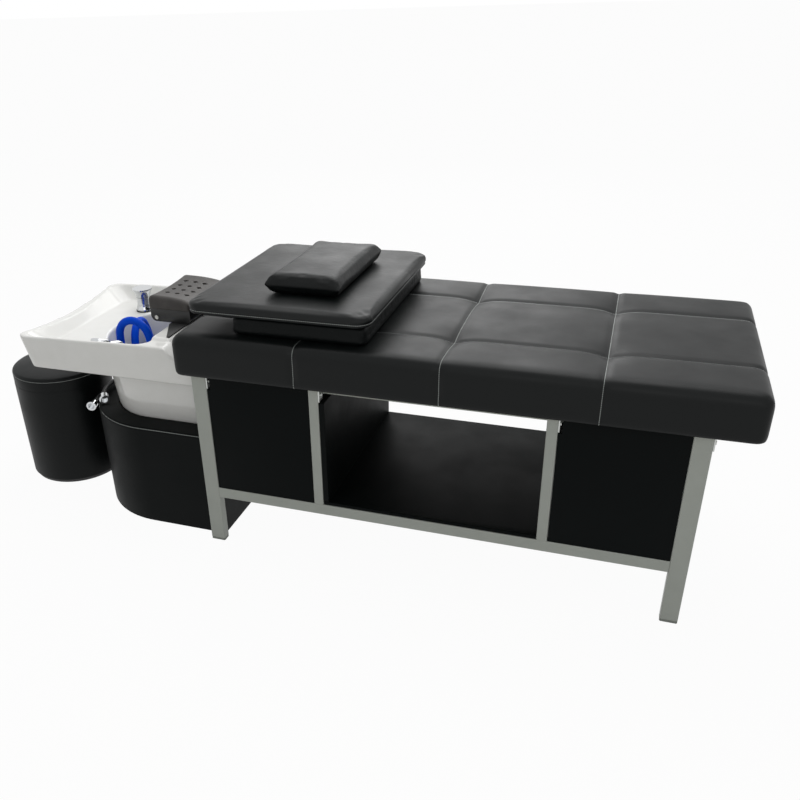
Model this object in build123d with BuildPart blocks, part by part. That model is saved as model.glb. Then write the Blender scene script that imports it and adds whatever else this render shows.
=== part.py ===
from build123d import *
import math
import os

# Hair washing bed: a padded bench on a steel frame, a ceramic basin on a leatherette pedestal
# at its head end, a loose booster cushion with a pillow, and a round stool beside the basin.
# +X runs from the basin to the foot end, -Y is the side that faces the room, +Z is up.
# Millimetres. The origin is on the floor, in the middle of the whole outline.

os.makedirs("parts", exist_ok=True)

# Clearances that several pieces share
overrun = 10
hole_clearance = 0.05
cushion_gap = 0.3
joint_gap = 1

# Mattress on its plywood board
mattress_length = 1328
mattress_width = 600
mattress_thickness = 110
mattress_corner = 42
mattress_edge = 34
mattress_hem = 8
board_thickness = 15
board_inset = 20
frame_height = 497

# Steel frame: flat uprights and square rails
tube_wall = 1.5
tube_corner = 2.5
frame_side_inset = 30
leg_width = 40
leg_depth = 25
leg_inset_head = 32
leg_inset_foot = 89
bay_length = 272
post_width = 25
side_rail_height = 30
side_rail_underside = 140
rail_size = 25
cross_rail_lap = 12
cap_height = 7
cap_plug_height = 22
cap_plug_clearance = 0.2
cap_round = 4

# Angle brackets between the uprights and the mattress board
bracket_thickness = 3
bracket_height = 38
bracket_reach = 28
bracket_side_margin = 1.5
screw_radius = 2.5
screw_length = 11
screw_head_radius = 4.5
screw_head_height = 2.6
screw_drop = 22
screw_reach = 17

# Leatherette boards that close the bays, and the shelf between them
panel_thickness = 12
panel_recess = 2
panel_top_gap = 7
panel_edge_gap = 0.8
panel_corner = 3
notch_width = 9
notch_drop = 3
shelf_thickness = 9
divider_thickness = 13
divider_top_gap = 2

# Pedestal below the basin: a U-shaped drum
pedestal_radius = 238
pedestal_setback = 170
pedestal_height = 300
pedestal_wall = 15
pedestal_top_thickness = 16
pedestal_edge = 7
pedestal_corner = 12
pedestal_base_thickness = 15
floor_opening_length = 210
floor_opening_width = 170
cradle_thickness = 18
cradle_post_size = 34
cradle_post_spread_x = 120
cradle_post_spread_y = 145
bowl_hole_clearance = 3

# Ceramic basin: a tray with a skirt, and a deep U-shaped bowl
basin_reach = 520
basin_under_bed = 57
basin_width = 480
basin_taper_head = 24
basin_taper_side = 13
skirt_underside = 436
skirt_thickness = 15
tray_corner = 34
tray_corner_low = 24
rim_head_height = 530
rim_neck_height = 541
rim_dip = 15
rim_dip_width = 400
rim_thickness = 14
rim_round = 4
tray_floor_height = 490
tray_floor_thickness = 16
ledge_inset_head = 68
ledge_inset_side = 35
recess_corner = 40
neck_edge_setback = 118
neck_crest_setback = 62
neck_slope_setback = 12
neck_slope_start_setback = 130
flange_height = 492
neck_deck_height = 549
neck_deck_half_width = 196
neck_deck_corner = 12
neck_hollow_height = 526
neck_hollow_half_width = 150
neck_hollow_front_setback = 40
bowl_setback = 178
bowl_front_reach = 22
bowl_radius_high = 189
bowl_radius_mid = 172
bowl_radius_low = 146
bowl_mid_rise = 62
bowl_sink = 62
bowl_wall = 14
bowl_floor_thickness = 20
bowl_front_corner = 40
bowl_seat_round = 6

# Drain: flange, strainer, tailpiece and bottle trap
drain_radius = 22
drain_flange_radius = 34
drain_flange_thickness = 2
drain_tube_radius = 20
drain_tube_bore = 17.5
drain_tube_length = 100
drain_nut_radius = 31
drain_nut_height = 12
strainer_radius = 30
strainer_thickness = 2
strainer_cup_radius = 16
strainer_cup_depth = 12
strainer_wall = 1.5
strainer_hole_radius = 2
strainer_hole_ring = 9
strainer_hole_count = 8
strainer_gap = 0.2
trap_radius = 36
trap_length = 96
trap_wall = 2.5
trap_collar_radius = 29
trap_collar_height = 18
trap_outlet_radius = 16
trap_outlet_reach = 92
trap_outlet_drop = 30

# Mixer on the tray floor, in the far head corner
mixer_setback = 343
mixer_side = 133
mixer_foot_radius = 24
mixer_waist_radius = 19.5
mixer_seam_radius = 21
mixer_top_radius = 29
mixer_foot_height = 4
mixer_waist_height = 26
mixer_seam_height = 40
mixer_height = 66
mixer_gasket_height = 3
mixer_gasket_radius = 25.5
mixer_gap = 0.8
mixer_shank_radius = 14
mixer_shank_clearance = 1.5
mixer_shank_length = 54
mixer_nut_radius = 19
mixer_nut_height = 11
mixer_pin_radius = 6
mixer_pin_height = 12
mixer_pin_clearance = 0.05

# Neck rest: saddle mat, fixed base, tilting shell and gel pad
saddle_thickness = 4
saddle_half_width = 188
saddle_shoulder = 106
saddle_margin = 4
saddle_tip_width = 8
neck_plate_thickness = 4
neck_plate_half_width = 88
neck_plate_clearance = 3
neck_lug_radius = 7
neck_lug_thickness = 8
neck_pivot_setback = 153
neck_pivot_rise = 13
neck_pin_radius = 3
neck_pin_head_radius = 5.5
neck_pin_head_height = 2
shell_head_setback = 170
shell_bed_setback = 52
shell_half_width = 98
shell_wall = 4
shell_underside_gap = 1.5
shell_height = 35.5
shell_round = 15
gel_overhang = 4
gel_thickness = 36
gel_round = 11
gel_upper_round = 14
gel_hole_length = 17
gel_hole_width = 13
gel_hole_depth = 9
gel_hole_pitch_x = 29
gel_hole_pitch_y = 34
gel_hole_rows = 3
gel_hole_columns = 4

# Booster cushion and pillow on the mattress
booster_head_inset = 38
booster_foot_inset = 500
booster_side_inset = 24
booster_pad_thickness = 34
booster_pad_corner = 34
booster_pad_edge = 12
block_head_inset = 150
block_foot_inset = 488
block_side_inset = 38
block_height = 45
block_corner = 18
pillow_length = 188
pillow_width = 344
pillow_thickness = 50
pillow_inset = 307
pillow_side = -15
pillow_corner = 20
pillow_edge = 18

# Round stool
stool_setback = 584
stool_radius = 142
stool_height = 357
stool_base_height = 12
stool_base_inset = 7
stool_seat_thickness = 48
stool_seat_round = 9
stool_wall = 13

# Shower hose, hand shower and hose ferrule in the bowl
hose_radius = 11
ferrule_side = 40
ferrule_rise = 127
ferrule_radius = 15
ferrule_flange_radius = 20
ferrule_flange_thickness = 4
ferrule_reach = 18
ferrule_tail = 7
handle_radius = 12.5
handle_waist_radius = 8
handle_length = 118
neck_entry = 20
spray_head_radius = 26
spray_head_thickness = 20
spray_head_round = 5
spray_head_tilt = 28
spray_head_setback = 283
spray_head_side = 184
spray_head_rise = 22.2
spray_face_radius = 22
spray_face_thickness = 2

# Supply hoses that hang between the drums, each with its union nut
supply_radius = 6
nut_radius = 14
nut_length = 20
nut_bore_radius = 9.3
nut_bore_depth = 13

# Places worked out from the sizes above
stool_reach = stool_setback + stool_radius
head_x = (stool_reach - mattress_length) / 2
foot_x = head_x + mattress_length
frame_side = mattress_width / 2 - frame_side_inset
leg_head_x = head_x + leg_inset_head
leg_foot_x = foot_x - leg_inset_foot - leg_width
bay_head_x = leg_head_x + leg_width
post_head_x = bay_head_x + bay_length
post_foot_x = leg_foot_x - bay_length - post_width
side_rail_top = side_rail_underside + side_rail_height
upper_rail_z = frame_height - rail_size
rail_side = frame_side - leg_depth
lap_head_x = bay_head_x - cross_rail_lap
lap_foot_x = leg_foot_x + cross_rail_lap
mattress_top = frame_height + mattress_thickness
bowl_underside = pedestal_height - bowl_sink
bowl_mid_height = bowl_underside + bowl_mid_rise
bowl_floor_z = bowl_underside + bowl_floor_thickness
ferrule_height = bowl_floor_z + ferrule_rise
booster_side = mattress_width / 2 - booster_side_inset
block_side = mattress_width / 2 - block_side_inset


def slab(x0, x1, y0, y1, z0, z1):
    """Adds a box between two corners to the part that is being built."""
    with Locations(((x0 + x1) / 2, (y0 + y1) / 2, (z0 + z1) / 2)):
        Box(x1 - x0, y1 - y0, z1 - z0)


def carve(x0, x1, y0, y1, z0, z1):
    """Cuts a box between two corners out of the part that is being built."""
    with Locations(((x0 + x1) / 2, (y0 + y1) / 2, (z0 + z1) / 2)):
        Box(x1 - x0, y1 - y0, z1 - z0, mode=Mode.SUBTRACT)


def tube(x0, x1, y0, y1, z0, z1, along):
    """Adds a rectangular steel tube whose open ends face along one axis."""
    slab(x0, x1, y0, y1, z0, z1)
    fillet(edges().filter_by(along), tube_corner)
    grow = {Axis.X: (1, 0, 0), Axis.Y: (0, 1, 0), Axis.Z: (0, 0, 1)}[along]
    inner = [tube_wall if g == 0 else -overrun for g in grow]
    carve(x0 + inner[0], x1 - inner[0], y0 + inner[1], y1 - inner[1], z0 + inner[2], z1 - inner[2])


def u_outline(centre_x, radius, front_x, corner):
    """Draws a U-shaped outline: a half circle towards the head, straight sides and a flat front."""
    with BuildLine() as outline:
        Polyline((centre_x, -radius), (front_x, -radius), (front_x, radius), (centre_x, radius))
        ThreePointArc((centre_x, radius), (centre_x - radius, 0), (centre_x, -radius))
    make_face(outline.edges())
    fillet(vertices().group_by(Axis.X)[-1], corner)


def cord_radii(points, size):
    """Radius of the arc at each inner point of a cord's route, and prints the tightest in diameters."""
    radii = []
    for a, b, c in zip(points, points[1:], points[2:]):
        before = Vector(*b) - Vector(*a)
        after = Vector(*c) - Vector(*b)
        half_turn = math.radians(before.get_angle(after)) / 2
        radii.append(0.45 * min(before.length, after.length) / math.tan(half_turn))
    print("arc radii", [round(r) for r in radii], "tightest in diameters", round(min(radii) / size / 2, 2))
    return radii


def cord_tube(points, size):
    """Sweeps a round hose along straight runs joined by tangent arcs."""
    with BuildLine() as route:
        FilletPolyline(*points, radius=cord_radii(points, size))
    path = route.wire()
    with BuildSketch(Plane(origin=path @ 0, z_dir=path % 0)) as section:
        Circle(size)
    sweep(section.sketch, path=path)
    print("hose length", round(path.length, 1))
    return path.length


# Mattress: foam on a plywood board, wrapped as one cushion
board_x0 = head_x + board_inset
board_x1 = foot_x - board_inset
board_side = mattress_width / 2 - board_inset

# Each upright: name, head-side face, width. The angle bracket is on its foot side.
uprights = [
    ("leg_head", leg_head_x, leg_width),
    ("post_head", post_head_x, post_width),
    ("post_foot", post_foot_x, post_width),
    ("leg_foot", leg_foot_x, leg_width),
]
sides = [("near", -1), ("far", 1)]
bracket_screw_y = frame_side - leg_depth / 2

with BuildPart() as mattress_board:
    slab(board_x0, board_x1, -board_side, board_side, frame_height, frame_height + board_thickness)
    for name, x, width in uprights:
        for side, sign in sides:
            with Locations((x + width + screw_reach, sign * bracket_screw_y, frame_height)):
                Cylinder(
                    screw_radius + hole_clearance,
                    screw_length,
                    align=(Align.CENTER, Align.CENTER, Align.MIN),
                    mode=Mode.SUBTRACT,
                )
mattress_board.part.label = "mattress_board"
export_step(mattress_board.part, "parts/mattress_board.step")

with BuildPart() as mattress:
    slab(head_x, foot_x, -mattress_width / 2, mattress_width / 2, frame_height, mattress_top)
    fillet(edges().filter_by(Axis.Z), mattress_corner)
    fillet(faces().sort_by(Axis.Z)[-1].edges(), mattress_edge)
    fillet(faces().sort_by(Axis.Z)[0].edges(), mattress_hem)
    carve(
        board_x0, board_x1, -board_side, board_side,
        frame_height - overrun, frame_height + board_thickness,
    )
mattress.part.label = "mattress"
export_step(mattress.part, "parts/mattress.step")

# Uprights: four legs and four posts, each drilled for its bracket screw
for name, x, width in uprights:
    is_leg = name.startswith("leg")
    base_z = cap_height if is_leg else side_rail_top
    for side, sign in sides:
        y0, y1 = sorted((sign * frame_side, sign * (frame_side - leg_depth)))
        with BuildPart() as upright:
            tube(x, x + width, y0, y1, base_z, frame_height, Axis.Z)
            with Locations(Plane.YZ.offset(x + width / 2)):
                with Locations((sign * bracket_screw_y, frame_height - screw_drop)):
                    Cylinder(
                        screw_radius + hole_clearance,
                        width,
                        align=(Align.CENTER, Align.CENTER, Align.MIN),
                        mode=Mode.SUBTRACT,
                    )
        upright.part.label = f"{name}_{side}"
        export_step(upright.part, f"parts/{name}_{side}.step")

# Plastic caps pushed into the legs' lower ends
with BuildPart() as leg_caps:
    for x in (leg_head_x, leg_foot_x):
        for side, sign in sides:
            y0, y1 = sorted((sign * frame_side, sign * (frame_side - leg_depth)))
            slab(x, x + leg_width, y0, y1, 0, cap_height)
    fillet(edges().filter_by(Axis.Z), cap_round)
    plug = tube_wall + cap_plug_clearance
    for x in (leg_head_x, leg_foot_x):
        for side, sign in sides:
            y0, y1 = sorted((sign * frame_side, sign * (frame_side - leg_depth)))
            slab(x + plug, x + leg_width - plug, y0 + plug, y1 - plug, cap_height, cap_plug_height)
leg_caps.part.label = "leg_caps"
export_step(leg_caps.part, "parts/leg_caps.step")

# Rails along the bed: the lower pair between the legs, the upper pair under the mattress board
side_rails = [
    ("lower_side_rails", bay_head_x, leg_foot_x, frame_side, side_rail_underside, side_rail_top),
    ("upper_side_rails", lap_head_x, lap_foot_x, rail_side, upper_rail_z, frame_height),
]
for name, x0, x1, outer, z0, z1 in side_rails:
    with BuildPart() as pair:
        for side, sign in sides:
            y0, y1 = sorted((sign * outer, sign * (outer - rail_size)))
            slab(x0, x1, y0, y1, z0, z1)
        fillet(edges().filter_by(Axis.X), tube_corner)
        for side, sign in sides:
            y0, y1 = sorted((sign * (outer - tube_wall), sign * (outer - rail_size + tube_wall)))
            carve(x0 - overrun, x1 + overrun, y0, y1, z0 + tube_wall, z1 - tube_wall)
    pair.part.label = name
    export_step(pair.part, f"parts/{name}.step")

# Rails across the bed, below and above, and the one that carries the basin's front
cross_rail_places = (lap_head_x, post_head_x, post_foot_x, lap_foot_x - rail_size)
with BuildPart() as lower_cross_rails:
    for x in cross_rail_places:
        slab(x, x + rail_size, -rail_side, rail_side, side_rail_underside, side_rail_top)
    fillet(edges().filter_by(Axis.Y), tube_corner)
    for x in cross_rail_places:
        carve(
            x + tube_wall, x + rail_size - tube_wall, -frame_side, frame_side,
            side_rail_underside + tube_wall, side_rail_top - tube_wall,
        )
lower_cross_rails.part.label = "lower_cross_rails"
export_step(lower_cross_rails.part, "parts/lower_cross_rails.step")

upper_cross_side = rail_side - rail_size
with BuildPart() as upper_cross_rails:
    for x in cross_rail_places:
        slab(x, x + rail_size, -upper_cross_side, upper_cross_side, upper_rail_z, frame_height)
    fillet(edges().filter_by(Axis.Y), tube_corner)
    for x in cross_rail_places:
        carve(
            x + tube_wall, x + rail_size - tube_wall, -frame_side, frame_side,
            upper_rail_z + tube_wall, frame_height - tube_wall,
        )
upper_cross_rails.part.label = "upper_cross_rails"
export_step(upper_cross_rails.part, "parts/upper_cross_rails.step")

with BuildPart() as basin_rail:
    tube(
        leg_head_x, leg_head_x + rail_size, -rail_side, rail_side,
        skirt_underside - rail_size, skirt_underside, Axis.Y,
    )
basin_rail.part.label = "basin_rail"
export_step(basin_rail.part, "parts/basin_rail.step")

# Angle brackets on the foot side of every upright, and their screws
bracket_depth = leg_depth - 2 * bracket_side_margin
with BuildPart() as board_brackets:
    for name, x, width in uprights:
        for side, sign in sides:
            y0, y1 = sorted((sign * (frame_side - bracket_side_margin), sign * (rail_side + bracket_side_margin)))
            slab(x + width, x + width + bracket_thickness, y0, y1, frame_height - bracket_height, frame_height)
            slab(x + width, x + width + bracket_reach, y0, y1, frame_height - bracket_thickness, frame_height)
            with Locations(Plane.YZ.offset(x + width)):
                with Locations((sign * bracket_screw_y, frame_height - screw_drop)):
                    Cylinder(screw_radius + hole_clearance, 2 * bracket_reach, mode=Mode.SUBTRACT)
            with Locations((x + width + screw_reach, sign * bracket_screw_y, frame_height)):
                Cylinder(screw_radius + hole_clearance, 2 * bracket_thickness + overrun, mode=Mode.SUBTRACT)
board_brackets.part.label = "board_brackets"
export_step(board_brackets.part, "parts/board_brackets.step")

with BuildPart() as bracket_screws:
    for name, x, width in uprights:
        for side, sign in sides:
            y = sign * bracket_screw_y
            face_x = x + width + bracket_thickness
            with Locations(Plane(origin=(face_x, y, frame_height - screw_drop), z_dir=(1, 0, 0))):
                Cylinder(screw_head_radius, screw_head_height, align=(Align.CENTER, Align.CENTER, Align.MIN))
                Cylinder(screw_radius, screw_length, align=(Align.CENTER, Align.CENTER, Align.MAX))
            face_z = frame_height - bracket_thickness
            with Locations(Plane(origin=(x + width + screw_reach, y, face_z), z_dir=(0, 0, -1))):
                Cylinder(screw_head_radius, screw_head_height, align=(Align.CENTER, Align.CENTER, Align.MIN))
                Cylinder(screw_radius, screw_length, align=(Align.CENTER, Align.CENTER, Align.MAX))
bracket_screws.part.label = "bracket_screws"
export_step(bracket_screws.part, "parts/bracket_screws.step")

# Side panels of the head and foot bays, notched round the angle brackets
panel_side = frame_side - panel_recess
bays = [("head", bay_head_x, post_head_x), ("foot", post_foot_x + post_width, leg_foot_x)]
for end, x0, x1 in bays:
    for side, sign in sides:
        y0, y1 = sorted((sign * panel_side, sign * (panel_side - panel_thickness)))
        with BuildPart() as panel:
            slab(x0 + panel_edge_gap, x1 - panel_edge_gap, y0, y1, side_rail_top, frame_height - panel_top_gap)
            fillet(edges().filter_by(Axis.Y), panel_corner)
            carve(
                x0 - overrun, x0 + notch_width, -frame_side, frame_side,
                frame_height - bracket_height - notch_drop, frame_height,
            )
        panel.part.label = f"panel_{end}_{side}"
        export_step(panel.part, f"parts/panel_{end}_{side}.step")

# End panels between the legs
end_side = rail_side - panel_edge_gap
for end, x0 in (("head", lap_head_x), ("foot", leg_foot_x)):
    with BuildPart() as end_panel:
        slab(x0, x0 + panel_thickness, -end_side, end_side, side_rail_top, upper_rail_z - joint_gap)
        fillet(edges().filter_by(Axis.X), panel_corner)
    end_panel.part.label = f"panel_{end}_end"
    export_step(end_panel.part, f"parts/panel_{end}_end.step")

# Shelf board on the rails, and the dividers that stand on it
shelf_x0 = post_head_x + post_width + panel_edge_gap
shelf_x1 = post_foot_x + post_width
shelf_top = side_rail_top + shelf_thickness
divider_top = frame_height - bracket_height - divider_top_gap
with BuildPart() as shelf_board:
    slab(shelf_x0, post_foot_x - panel_edge_gap, -panel_side, panel_side, side_rail_top, shelf_top)
    slab(post_foot_x - panel_edge_gap, shelf_x1, -end_side, end_side, side_rail_top, shelf_top)
shelf_board.part.label = "shelf_board"
export_step(shelf_board.part, "parts/shelf_board.step")

with BuildPart() as divider_head:
    slab(shelf_x0, shelf_x0 + divider_thickness, -panel_side, panel_side, shelf_top, divider_top)
    fillet(edges().filter_by(Axis.X), panel_corner)
divider_head.part.label = "divider_head"
export_step(divider_head.part, "parts/divider_head.step")

with BuildPart() as divider_foot:
    slab(shelf_x1 - divider_thickness, shelf_x1, -end_side, end_side, shelf_top, divider_top)
    fillet(edges().filter_by(Axis.X), panel_corner)
divider_foot.part.label = "divider_foot"
export_step(divider_foot.part, "parts/divider_foot.step")

# Pedestal: a U-shaped shell with a padded top, on a base board
pedestal_x = head_x - pedestal_setback
pedestal_front_x = lap_head_x - joint_gap
pedestal_inner = pedestal_radius - pedestal_wall
pedestal_inner_front_x = pedestal_front_x - pedestal_wall
shell_top_z = pedestal_height - pedestal_top_thickness
bowl_x = head_x - bowl_setback
bowl_front_x = head_x + bowl_front_reach

with BuildPart() as pedestal_shell:
    with BuildSketch():
        u_outline(pedestal_x, pedestal_radius, pedestal_front_x, pedestal_corner)
    extrude(amount=shell_top_z)
    with BuildSketch():
        u_outline(pedestal_x, pedestal_inner, pedestal_inner_front_x, pedestal_corner)
    extrude(amount=shell_top_z, mode=Mode.SUBTRACT)
pedestal_shell.part.label = "pedestal_shell"
export_step(pedestal_shell.part, "parts/pedestal_shell.step")

with BuildPart() as pedestal_top:
    with BuildSketch(Plane.XY.offset(shell_top_z)):
        u_outline(pedestal_x, pedestal_radius, pedestal_front_x, pedestal_corner)
    extrude(amount=pedestal_top_thickness)
    fillet(faces().sort_by(Axis.Z)[-1].edges(), pedestal_edge)
    bowl_hole = bowl_radius_mid + bowl_hole_clearance
    with BuildSketch(Plane.XY.offset(shell_top_z)):
        u_outline(bowl_x, bowl_hole, bowl_front_x + bowl_hole_clearance, bowl_front_corner)
    extrude(amount=pedestal_top_thickness, mode=Mode.SUBTRACT)
pedestal_top.part.label = "pedestal_top"
export_step(pedestal_top.part, "parts/pedestal_top.step")

with BuildPart() as pedestal_base:
    with BuildSketch():
        u_outline(pedestal_x, pedestal_inner, pedestal_inner_front_x, pedestal_corner)
        with Locations((bowl_x, 0)):
            Rectangle(floor_opening_length, floor_opening_width, mode=Mode.SUBTRACT)
    extrude(amount=pedestal_base_thickness)
pedestal_base.part.label = "pedestal_base"
export_step(pedestal_base.part, "parts/pedestal_base.step")

# Cradle board under the bowl, on four posts
cradle_z = bowl_underside - cradle_thickness
with BuildPart() as basin_cradle:
    with BuildSketch(Plane.XY.offset(cradle_z)):
        u_outline(pedestal_x, pedestal_inner, pedestal_inner_front_x, pedestal_corner)
        with Locations((bowl_x, 0)):
            Circle(drain_nut_radius + joint_gap, mode=Mode.SUBTRACT)
    extrude(amount=cradle_thickness)
basin_cradle.part.label = "basin_cradle"
export_step(basin_cradle.part, "parts/basin_cradle.step")

with BuildPart() as cradle_posts:
    post_height = cradle_z - pedestal_base_thickness
    with Locations((bowl_x, 0, pedestal_base_thickness + post_height / 2)):
        with GridLocations(2 * cradle_post_spread_x, 2 * cradle_post_spread_y, 2, 2):
            Box(cradle_post_size, cradle_post_size, post_height)
cradle_posts.part.label = "cradle_posts"
export_step(cradle_posts.part, "parts/cradle_posts.step")

# Basin: skirted tray, U-shaped bowl and raised neck deck
basin_x0 = head_x - basin_reach
basin_x1 = head_x + basin_under_bed
tray_low_x0 = basin_x0 + basin_taper_head
tray_low_width = basin_width - 2 * basin_taper_side
tray_top = neck_deck_height
neck_edge_x = head_x - neck_edge_setback
neck_crest_x = head_x - neck_crest_setback
neck_slope_x = head_x - neck_slope_setback
neck_start_x = head_x - neck_slope_start_setback
recess_x0 = basin_x0 + rim_thickness
recess_width = basin_width - 2 * rim_thickness
ledge_x0 = basin_x0 + ledge_inset_head
ledge_width = basin_width - 2 * ledge_inset_side
pocket_top = tray_floor_height - tray_floor_thickness
mixer_x = head_x - mixer_setback
dip_depth_radius = ((rim_dip_width / 2) ** 2 + rim_dip ** 2) / (2 * rim_dip)


def tray_section(height, x0, x1, width, corner):
    """A rounded rectangle across the tray at one height."""
    with BuildSketch(Plane.XY.offset(height)) as section:
        with Locations(((x0 + x1) / 2, 0)):
            RectangleRounded(x1 - x0, width, corner)
    return section.sketch


with BuildPart() as basin:
    skirt_low = tray_section(skirt_underside, tray_low_x0, basin_x1, tray_low_width, tray_corner_low)
    skirt_high = tray_section(tray_top, basin_x0, basin_x1, basin_width, tray_corner)
    loft([skirt_low, skirt_high])
    # the rim climbs from the head end to the neck, then drops under the bed
    with BuildSketch(Plane.XZ):
        with BuildLine():
            Polyline(
                (basin_x0 - overrun, rim_head_height),
                (neck_start_x, rim_neck_height),
                (neck_crest_x, rim_neck_height),
                (neck_slope_x, flange_height),
                (basin_x1 + overrun, flange_height),
                (basin_x1 + overrun, tray_top + overrun),
                (basin_x0 - overrun, tray_top + overrun),
                close=True,
            )
        make_face()
    extrude(amount=basin_width, both=True, mode=Mode.SUBTRACT)
    # raised deck that carries the neck rest
    with BuildSketch(Plane.XY.offset(tray_floor_height)):
        with Locations(((neck_edge_x + neck_crest_x) / 2, 0)):
            RectangleRounded(neck_crest_x - neck_edge_x, 2 * neck_deck_half_width, neck_deck_corner)
    extrude(amount=neck_deck_height - tray_floor_height)
    # recess: sloping walls down to the ledge, upright above the rim's low end
    ledge_line = tray_section(tray_floor_height, ledge_x0, neck_edge_x, ledge_width, recess_corner)
    rim_line = tray_section(rim_head_height, recess_x0, neck_edge_x, recess_width, recess_corner)
    loft([ledge_line, rim_line], mode=Mode.SUBTRACT)
    extrude(rim_line, amount=neck_deck_height, dir=(0, 0, 1), mode=Mode.SUBTRACT)
    # dip in the middle of the head-end rim
    with Locations(Plane(
        origin=(basin_x0 - overrun, 0, rim_head_height - rim_dip + dip_depth_radius),
        z_dir=(1, 0, 0),
    )):
        Cylinder(
            dip_depth_radius,
            ledge_inset_head + overrun,
            align=(Align.CENTER, Align.CENTER, Align.MIN),
            mode=Mode.SUBTRACT,
        )
    # open space under the tray floor, inside the skirt
    pocket_line = tray_section(
        skirt_underside, tray_low_x0 + skirt_thickness, basin_x1 - skirt_thickness,
        tray_low_width - 2 * skirt_thickness, tray_corner_low,
    )
    extrude(pocket_line, amount=pocket_top - skirt_underside, dir=(0, 0, 1), mode=Mode.SUBTRACT)
    # outer bowl
    bowl_sections = (
        (pocket_top, bowl_radius_high),
        (bowl_mid_height, bowl_radius_mid),
        (bowl_underside, bowl_radius_low),
    )
    for low, high in zip(bowl_sections[1:], bowl_sections):
        for height, radius in (low, high):
            with BuildSketch(Plane.XY.offset(height)):
                u_outline(bowl_x, radius, bowl_front_x, bowl_front_corner)
        loft(ruled=True)
    # inside of the bowl
    inner_sections = (
        (tray_floor_height + overrun, bowl_radius_high - bowl_wall),
        (bowl_mid_height, bowl_radius_mid - bowl_wall),
        (bowl_floor_z, bowl_radius_low - bowl_wall),
    )
    for low, high in zip(inner_sections[1:], inner_sections):
        for height, radius in (low, high):
            with BuildSketch(Plane.XY.offset(height)):
                u_outline(bowl_x, radius, bowl_front_x - bowl_wall, bowl_front_corner)
        loft(ruled=True, mode=Mode.SUBTRACT)
    # hollow under the neck deck
    carve(
        neck_edge_x - overrun, head_x - neck_hollow_front_setback,
        -neck_hollow_half_width, neck_hollow_half_width,
        tray_floor_height, neck_hollow_height,
    )
    # holes for the drain, the mixer and the hose ferrule
    with Locations((bowl_x, 0, bowl_underside)):
        Cylinder(drain_radius, 2 * bowl_floor_thickness + overrun, mode=Mode.SUBTRACT)
    with Locations((mixer_x, mixer_side, tray_floor_height)):
        Cylinder(
            mixer_shank_radius + mixer_shank_clearance,
            2 * tray_floor_thickness + overrun,
            mode=Mode.SUBTRACT,
        )
    with Locations(Plane(origin=(bowl_front_x, ferrule_side, ferrule_height), z_dir=(1, 0, 0))):
        Cylinder(ferrule_radius, 2 * bowl_wall + overrun, mode=Mode.SUBTRACT)
basin.part.label = "basin"
export_step(basin.part, "parts/basin.step")

# Drain flange with its threaded tube, and the nut below the bowl
with BuildPart() as drain_flange:
    with Locations((bowl_x, 0, bowl_floor_z)):
        Cylinder(drain_flange_radius, drain_flange_thickness, align=(Align.CENTER, Align.CENTER, Align.MIN))
        Cylinder(drain_tube_radius, drain_tube_length, align=(Align.CENTER, Align.CENTER, Align.MAX))
        Cylinder(drain_tube_bore, 2 * drain_tube_length + overrun, mode=Mode.SUBTRACT)
drain_flange.part.label = "drain_flange"
export_step(drain_flange.part, "parts/drain_flange.step")

with BuildPart() as drain_nut:
    with BuildSketch(Plane.XY.offset(bowl_underside - drain_nut_height)):
        with Locations((bowl_x, 0)):
            RegularPolygon(drain_nut_radius, 6)
            Circle(drain_tube_radius + hole_clearance, mode=Mode.SUBTRACT)
    extrude(amount=drain_nut_height)
drain_nut.part.label = "drain_nut"
export_step(drain_nut.part, "parts/drain_nut.step")

# Strainer that lifts out of the flange
strainer_z = bowl_floor_z + drain_flange_thickness + strainer_gap
with BuildPart() as drain_strainer:
    with Locations((bowl_x, 0, strainer_z)):
        Cylinder(strainer_radius, strainer_thickness, align=(Align.CENTER, Align.CENTER, Align.MIN))
        Cylinder(strainer_cup_radius, strainer_cup_depth, align=(Align.CENTER, Align.CENTER, Align.MAX))
    with Locations((bowl_x, 0, strainer_z + strainer_thickness)):
        Cylinder(
            strainer_cup_radius - strainer_wall,
            strainer_thickness + strainer_cup_depth - strainer_wall,
            align=(Align.CENTER, Align.CENTER, Align.MAX),
            mode=Mode.SUBTRACT,
        )
    with Locations((bowl_x, 0, strainer_z - strainer_cup_depth)):
        with PolarLocations(strainer_hole_ring, strainer_hole_count):
            Cylinder(strainer_hole_radius, overrun, mode=Mode.SUBTRACT)
drain_strainer.part.label = "drain_strainer"
export_step(drain_strainer.part, "parts/drain_strainer.step")

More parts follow.
